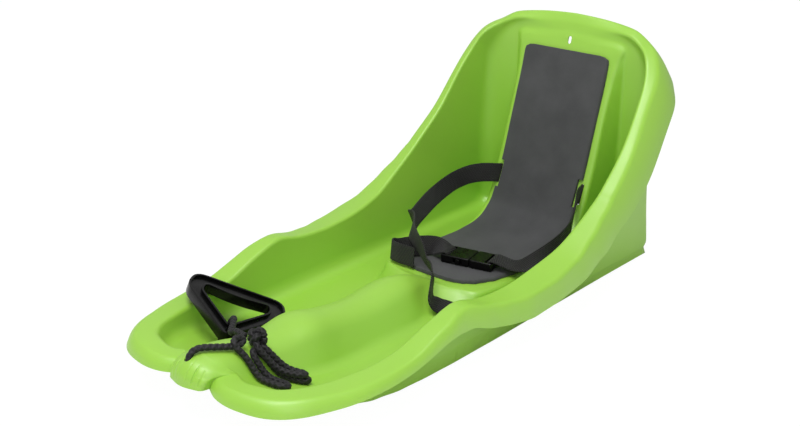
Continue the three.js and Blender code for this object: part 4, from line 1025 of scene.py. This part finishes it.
# %% [markdown]
# A row of the rope's plan is across, along and rise. The place is settled on the hull, then lifted by the
# rise, which is a share of the rope's diameter and is 0 where a row leaves it out.

# %% The rope's route on the hull
rope_radius = rope_diameter / 2
rope_lay, hank_lay = rope_radius + 2 * lay_gap, rope_radius + lay_gap


def full_rows(rows):
    return np.array([[*row, 0][:3] for row in rows])


def laid_rope(rows, steps_between, lay):
    plan, places = full_rows(rows), []
    for k in range((len(plan) - 1) * steps_between + 1):
        across, along, rise = curve_at(plan, k / steps_between)
        place = settle(on_row([across, along, 0.5]), down, lay)
        place[2] += rise * rope_diameter
        places.append(place)
    return places


ridge_shares = [[.15, -.4155], [.152, -.401], [.15, -.386], [.15, -.372], [.15, -.38, .85], [.15, -.392, .85]]
footwell_shares = [[.385, -.402], [.385, -.387], [.372, -.357], [.36, -.342], [.355, -.345, .85], [.357, -.36, .85]]
footwell_turn_share, ridge_turn_share = 0.033, -0.02
wrap_shares = [[.1, -.416, .15], [.102, -.404, .6], [.088, -.399, .95], [.077, -.408, 1.05], [.081, -.42, 1.05],
               [.1, -.425, .7], [.122, -.421, .2]]
tail_shares = [[.125, -.386, 1], [.1, -.38, .9], [.07, -.381, .4], [.042, -.382, .05]]
hank_shares = wrap_shares[:]


def between(one, other):
    return full_rows((one, other)).mean(axis=0)


for strand, (ridge, foot) in enumerate(zip(ridge_shares, footwell_shares)):
    run = [ridge, between(ridge, foot), foot]
    outwards = strand % 2 == 0
    hank_shares += run if outwards else run[::-1]
    ends = footwell_shares if outwards else ridge_shares
    if strand < len(ridge_shares) - 1:
        reach = footwell_turn_share if outwards else ridge_turn_share
        hank_shares.append(np.array([reach, 0, 0]) + between(ends[strand], ends[strand + 1]))
hank_places = laid_rope(hank_shares + tail_shares, 3, hank_lay)

hole_x, hole_y, _ = on_row(rope_hole_share)
stopper_radius, knot_radius = rope_diameter * 1.05, rope_diameter * 1.55
above_nose = 0.17
nose_top = settle((hole_x, hole_y, above_nose), down, 0.1 * lay_gap)[2]
stopper_place = np.array([hole_x, hole_y, nose_top - 2 * hull_wall - stopper_radius])
lead_shares = [[-.012, -.471, .12], [.006, -.463, .05], [.03, -.455], [.057, -.443], [.082, -.429]]
lead_places = [np.array(place) for place in (
    (hole_x, hole_y, stopper_place[2] + stopper_radius + buckle_gap),
    (hole_x, hole_y, nose_top),
    (hole_x, hole_y + rope_radius / 3, nose_top + rope_radius),
    *laid_rope(lead_shares, 1, rope_lay))]


def even_path(*runs, spacing=3 * MM, passes=8):
    """Runs of places as one evenly spaced path whose corners are eased. Each run ends where the next starts."""
    path = np.vstack([resampled(np.array(run), spacing)[0][k > 0:] for k, run in enumerate(runs)])
    path = resampled(path, spacing)[0]
    for _ in range(passes):
        path[1:-1] = (path[:-2] + 2 * path[1:-1] + path[2:]) / 4
    return path


tow_rope, tow_path, tow_length = braided(
    "tow_rope_braid", even_path(lead_places + hank_places[:1], hank_places), rope_diameter)
finished(tow_rope, black_rope, "sled", "black_rope", "tow_rope_lead", "tow_rope_hank", sharp=70)
print("tow rope:", round(tow_length, 3), "m in view")

# %% [markdown]
# A knot is drawn as a closed trefoil of slightly thinner cord, pulled tight, which looks like a tied one
# from outside. The big one sits on the ridge of the hump, between the hank and the handle's rope, and the
# small one stops the rope below the nose.

# %% Knots
KNOT_STEPS, knot_cord, stopper_cord = 60, 0.0082, 0.0072


def knot(name, centre, radius, diameter, tilt, node):
    reach, rise = (radius - diameter / 2) / 3, radius - diameter / 2
    turns = [2 * math.pi * k / KNOT_STEPS for k in range(KNOT_STEPS + 1)]
    turned = Matrix.Rotation(tilt[0], 3, "X") @ Matrix.Rotation(tilt[1], 3, "Z")
    points = [np.array(turned @ Vector(((2 + math.cos(3 * t)) * math.cos(2 * t) * reach,
                                        (2 + math.cos(3 * t)) * math.sin(2 * t) * reach,
                                        math.sin(3 * t) * rise * 0.75))) + centre for t in turns]
    made, _, _ = braided(name, np.array(points), diameter, step=0.6 * MM, sides=28)
    return finished(made, black_rope, "sled", "black_rope", node, sharp=70)


knot_place = settle(on_row([.105, -.378, .5]), down, knot_radius + lay_gap)
big_knot = knot("tow_rope_knot_braid", knot_place, knot_radius, knot_cord, (0.5, 0.4), "tow_rope_knot")
stopper = knot("tow_rope_stopper_braid", stopper_place, stopper_radius, stopper_cord, (0.1, 0.9),
               "tow_rope_stopper_knot")

# %% [markdown]
# ## Pull handle
#
# The handle is a flat moulded triangle: a rim round the outside and round the hole, and a thin web between
# them, like an I-beam bent into a loop. Plates with an outer and an inner outline make it, and a bevel
# rounds the rims.

# %% The handle's outlines
handle_width, handle_height, handle_thickness, handle_edge, corner_play = 0.136, 0.135, 0.013, 1.35 * MM, 0.00125
handle_rim, handle_pocket, outer_round, inner_round = 0.003, 0.004, 0.017, 0.007
outer_shares = [[-.45, 0], [.45, 0], [.5, -.28], [0, -1], [-.5, -.28]]
inner_shares = [[-.32, -.16], [-.09, -.2], [.09, -.2], [.32, -.16], [.335, -.29], [0, -.78], [-.335, -.29]]


def handle_corners(shares):
    return [np.array([across * handle_width, along * handle_height]) for across, along in shares]


def moved_in(corners, distance):
    """The corners of an outline whose sides all move inwards by a distance."""
    moved = []
    for k, corner in enumerate(corners):
        to_before = unit(corners[k - 1] - corner)
        to_after = unit(corners[(k + 1) % len(corners)] - corner)
        sine = to_before[0] * to_after[1] - to_before[1] * to_after[0]
        moved.append(corner + (to_before + to_after) * distance / sine)
    return moved


def handle_plate(name, shares, moved, round_off, low, high):
    """A plate between two heights, with its outline moved in and its corners rounded."""
    corners, ring = moved_in(handle_corners(shares), moved), []
    for k, corner in enumerate(corners):
        start = corner + unit(corners[k - 1] - corner) * round_off
        end = corner + unit(corners[(k + 1) % len(corners)] - corner) * round_off
        ring += [(1 - t) ** 2 * start + 2 * t * (1 - t) * corner + t * t * end for t in np.linspace(0, 1, 10)]
    return tube(name, [[(x, y, z) for x, y in ring] for z in (low, high)])


def handle_object():
    half = handle_thickness / 2
    plate = handle_plate("handle_plate", outer_shares, 0, outer_round, -half, half)
    tools = [handle_plate("handle_hole", inner_shares, 0, inner_round, -2 * half, 2 * half)]
    cut(plate, "DIFFERENCE", tools)
    for low, high in ((half - handle_pocket, 2 * half), (-2 * half, handle_pocket - half)):
        pocket = handle_plate("handle_pocket", outer_shares, handle_rim, outer_round - handle_rim, low, high)
        island = handle_plate("handle_island", inner_shares, -handle_rim, inner_round + handle_rim,
                              -2 * half, 2 * half)
        cut(pocket, "DIFFERENCE", [island])
        ring = baked(pocket, "handle_pocket_ring")
        cut(plate, "DIFFERENCE", [ring])
        tools += [ring, island]
    modify(plate, "BEVEL", width=handle_edge, segments=4, limit_method="ANGLE", angle_limit=math.radians(40))
    made = baked(plate, "pull_handle_moulded")
    removed(tools)
    return made


# %% [markdown]
# Three places on the hull say how the handle lies: under the grip's two ends and under the corner that the
# rope goes round. Each is settled and lifted by a share of the handle's thickness, and the third by the
# rope's thickness as well.

# %% Where the handle lies
rest_shares = [[-.786, -.3194, 1.62], [-.295, -.215, 1.02], [-.295, -.3477, 1]]
rest_inset, rest_middle_share = 0.020, 0.464
rests = []
for k, (across, along, up) in enumerate(rest_shares):
    lift = up * handle_thickness + (rope_diameter + 2 * lay_gap if k == 2 else 0)
    rests.append(settle(on_row([across, along, .5]), down, lift))
rest_left, rest_right, rest_rope = rests
grip_run = unit(rest_right - rest_left)
rest_middle = rest_left + (rest_right - rest_left) * rest_middle_share
handle_face = unit(np.cross(grip_run, rest_middle - rest_rope))
handle_up = np.cross(handle_face, grip_run)
handle_origin = rest_middle + handle_up * rest_inset
handle_frame = Matrix([[*row] for row in np.column_stack([grip_run, handle_up, handle_face, handle_origin])]
                      + [[0, 0, 0, 1]])
handle = handle_object()
handle.data.transform(handle_frame)
finished(handle, handle_plastic, "handle", "black_plastic", "pull_handle", sharp=40)

# %% [markdown]
# The rope's last turn starts on the ridge, 5 mm from the end of the tail, and goes over the handle's corner
# bar, down through the hole and round. It swings with the handle, which the rest of the rope doesn't, so
# the two are separate pieces with a small gap between them.

# %% The turn round the handle's corner
def rounded_tip(shares, round_off):
    *_, side, tip, _ = handle_corners(shares)
    return tip[1] + unit(side - tip)[1] * round_off / 2


tip_inner, tip_outer = rounded_tip(inner_shares, inner_round), rounded_tip(outer_shares, outer_round)
bar_middle = (tip_inner + tip_outer) / 2
turn_along = (tip_inner - tip_outer) / 2 + rope_radius + corner_play
turn_up = handle_thickness / 2 + rope_radius + lay_gap
turn_shares = [[.5, -1.15, 1.3], [.5, 0, 1.18], [.35, .95, 1.1], [.1, 1.35, 0], [-.15, .95, -1.1], [-.35, 0, -1.18]]
turn_places = laid_rope([[.018, -.382], [-.055, -.379, .1], [-.115, -.373, .3]], 1, rope_lay)
turn_places += [
    np.array(handle_frame @ Vector((across * rope_diameter, bar_middle + along * turn_along, up * turn_up)))
    for across, along, up in turn_shares]
loop, loop_path, loop_length = braided("tow_rope_loop_braid", np.array(turn_places), rope_diameter)
finished(loop, black_rope, "handle", "black_rope", "tow_rope_handle_loop", sharp=70)
print("rope to the handle:", round(loop_length, 3), "m")

# %% [markdown]
# ## Studio
#
# The photograph is a product shot on white. The floor glows white where the camera sees it, and keeps a
# little of its own shading, so that a faint shadow stays. The world is white for the camera too, and
# about half as bright for everything that it lights. Two round softboxes give the highlights.

# %% Floor, world and lamps
def white_floor():
    material, tree = new_material("studio_floor_white")
    matte = add(tree, "ShaderNodeBsdfDiffuse", {"Color": linear("f2f2f2")})
    glow = add(tree, "ShaderNodeEmission", {"Color": linear("ffffff"), "Strength": 1.04})
    path = add(tree, "ShaderNodeLightPath")
    share = add(tree, "ShaderNodeMath", {0: path.outputs["Is Camera Ray"], 1: 0.94}, operation="MULTIPLY")
    mixed = add(tree, "ShaderNodeMixShader", {0: share.outputs[0], 1: matte.outputs[0], 2: glow.outputs[0]})
    add(tree, "ShaderNodeOutputMaterial", {"Surface": mixed.outputs[0]})
    return material


floor_corners = [(6 * x, 6 * y, 0) for x, y in ((-1, -1), (1, -1), (1, 1), (-1, 1))]
floor = placed("floor", mesh_from("floor", floor_corners, [(0, 1, 2, 3)]))
floor.data.materials.append(white_floor())

world = bpy.data.worlds.new("studio")
bpy.context.scene.world = world
world.use_nodes = True
sky = world.node_tree
sky.nodes.clear()
path = add(sky, "ShaderNodeLightPath")
strength = add(sky, "ShaderNodeMapRange", {"Value": path.outputs["Is Camera Ray"], "To Min": 0.52, "To Max": 1.0})
background = add(sky, "ShaderNodeBackground", {"Color": linear("ffffff"), "Strength": strength.outputs[0]})
add(sky, "ShaderNodeOutputWorld", {"Surface": background.outputs[0]})


def softbox(name, place, target, size, watts):
    """A round lamp, turned to a target."""
    lamp = bpy.data.lights.new(name, "AREA")
    lamp.shape, lamp.size, lamp.energy = "DISK", size, watts
    holder = placed(name, lamp)
    holder.location = place
    holder.rotation_euler = (Vector(target) - Vector(place)).to_track_quat("-Z", "Y").to_euler()


softbox("key_softbox", (0.2, -0.7, 2.2), (0, 0, 0.1), 1.3, 40)
softbox("side_softbox", (1.6, -1.6, 1.3), (0, -0.2, 0.1), 0.9, 9)
bpy.context.scene.view_settings.view_transform = "Standard"
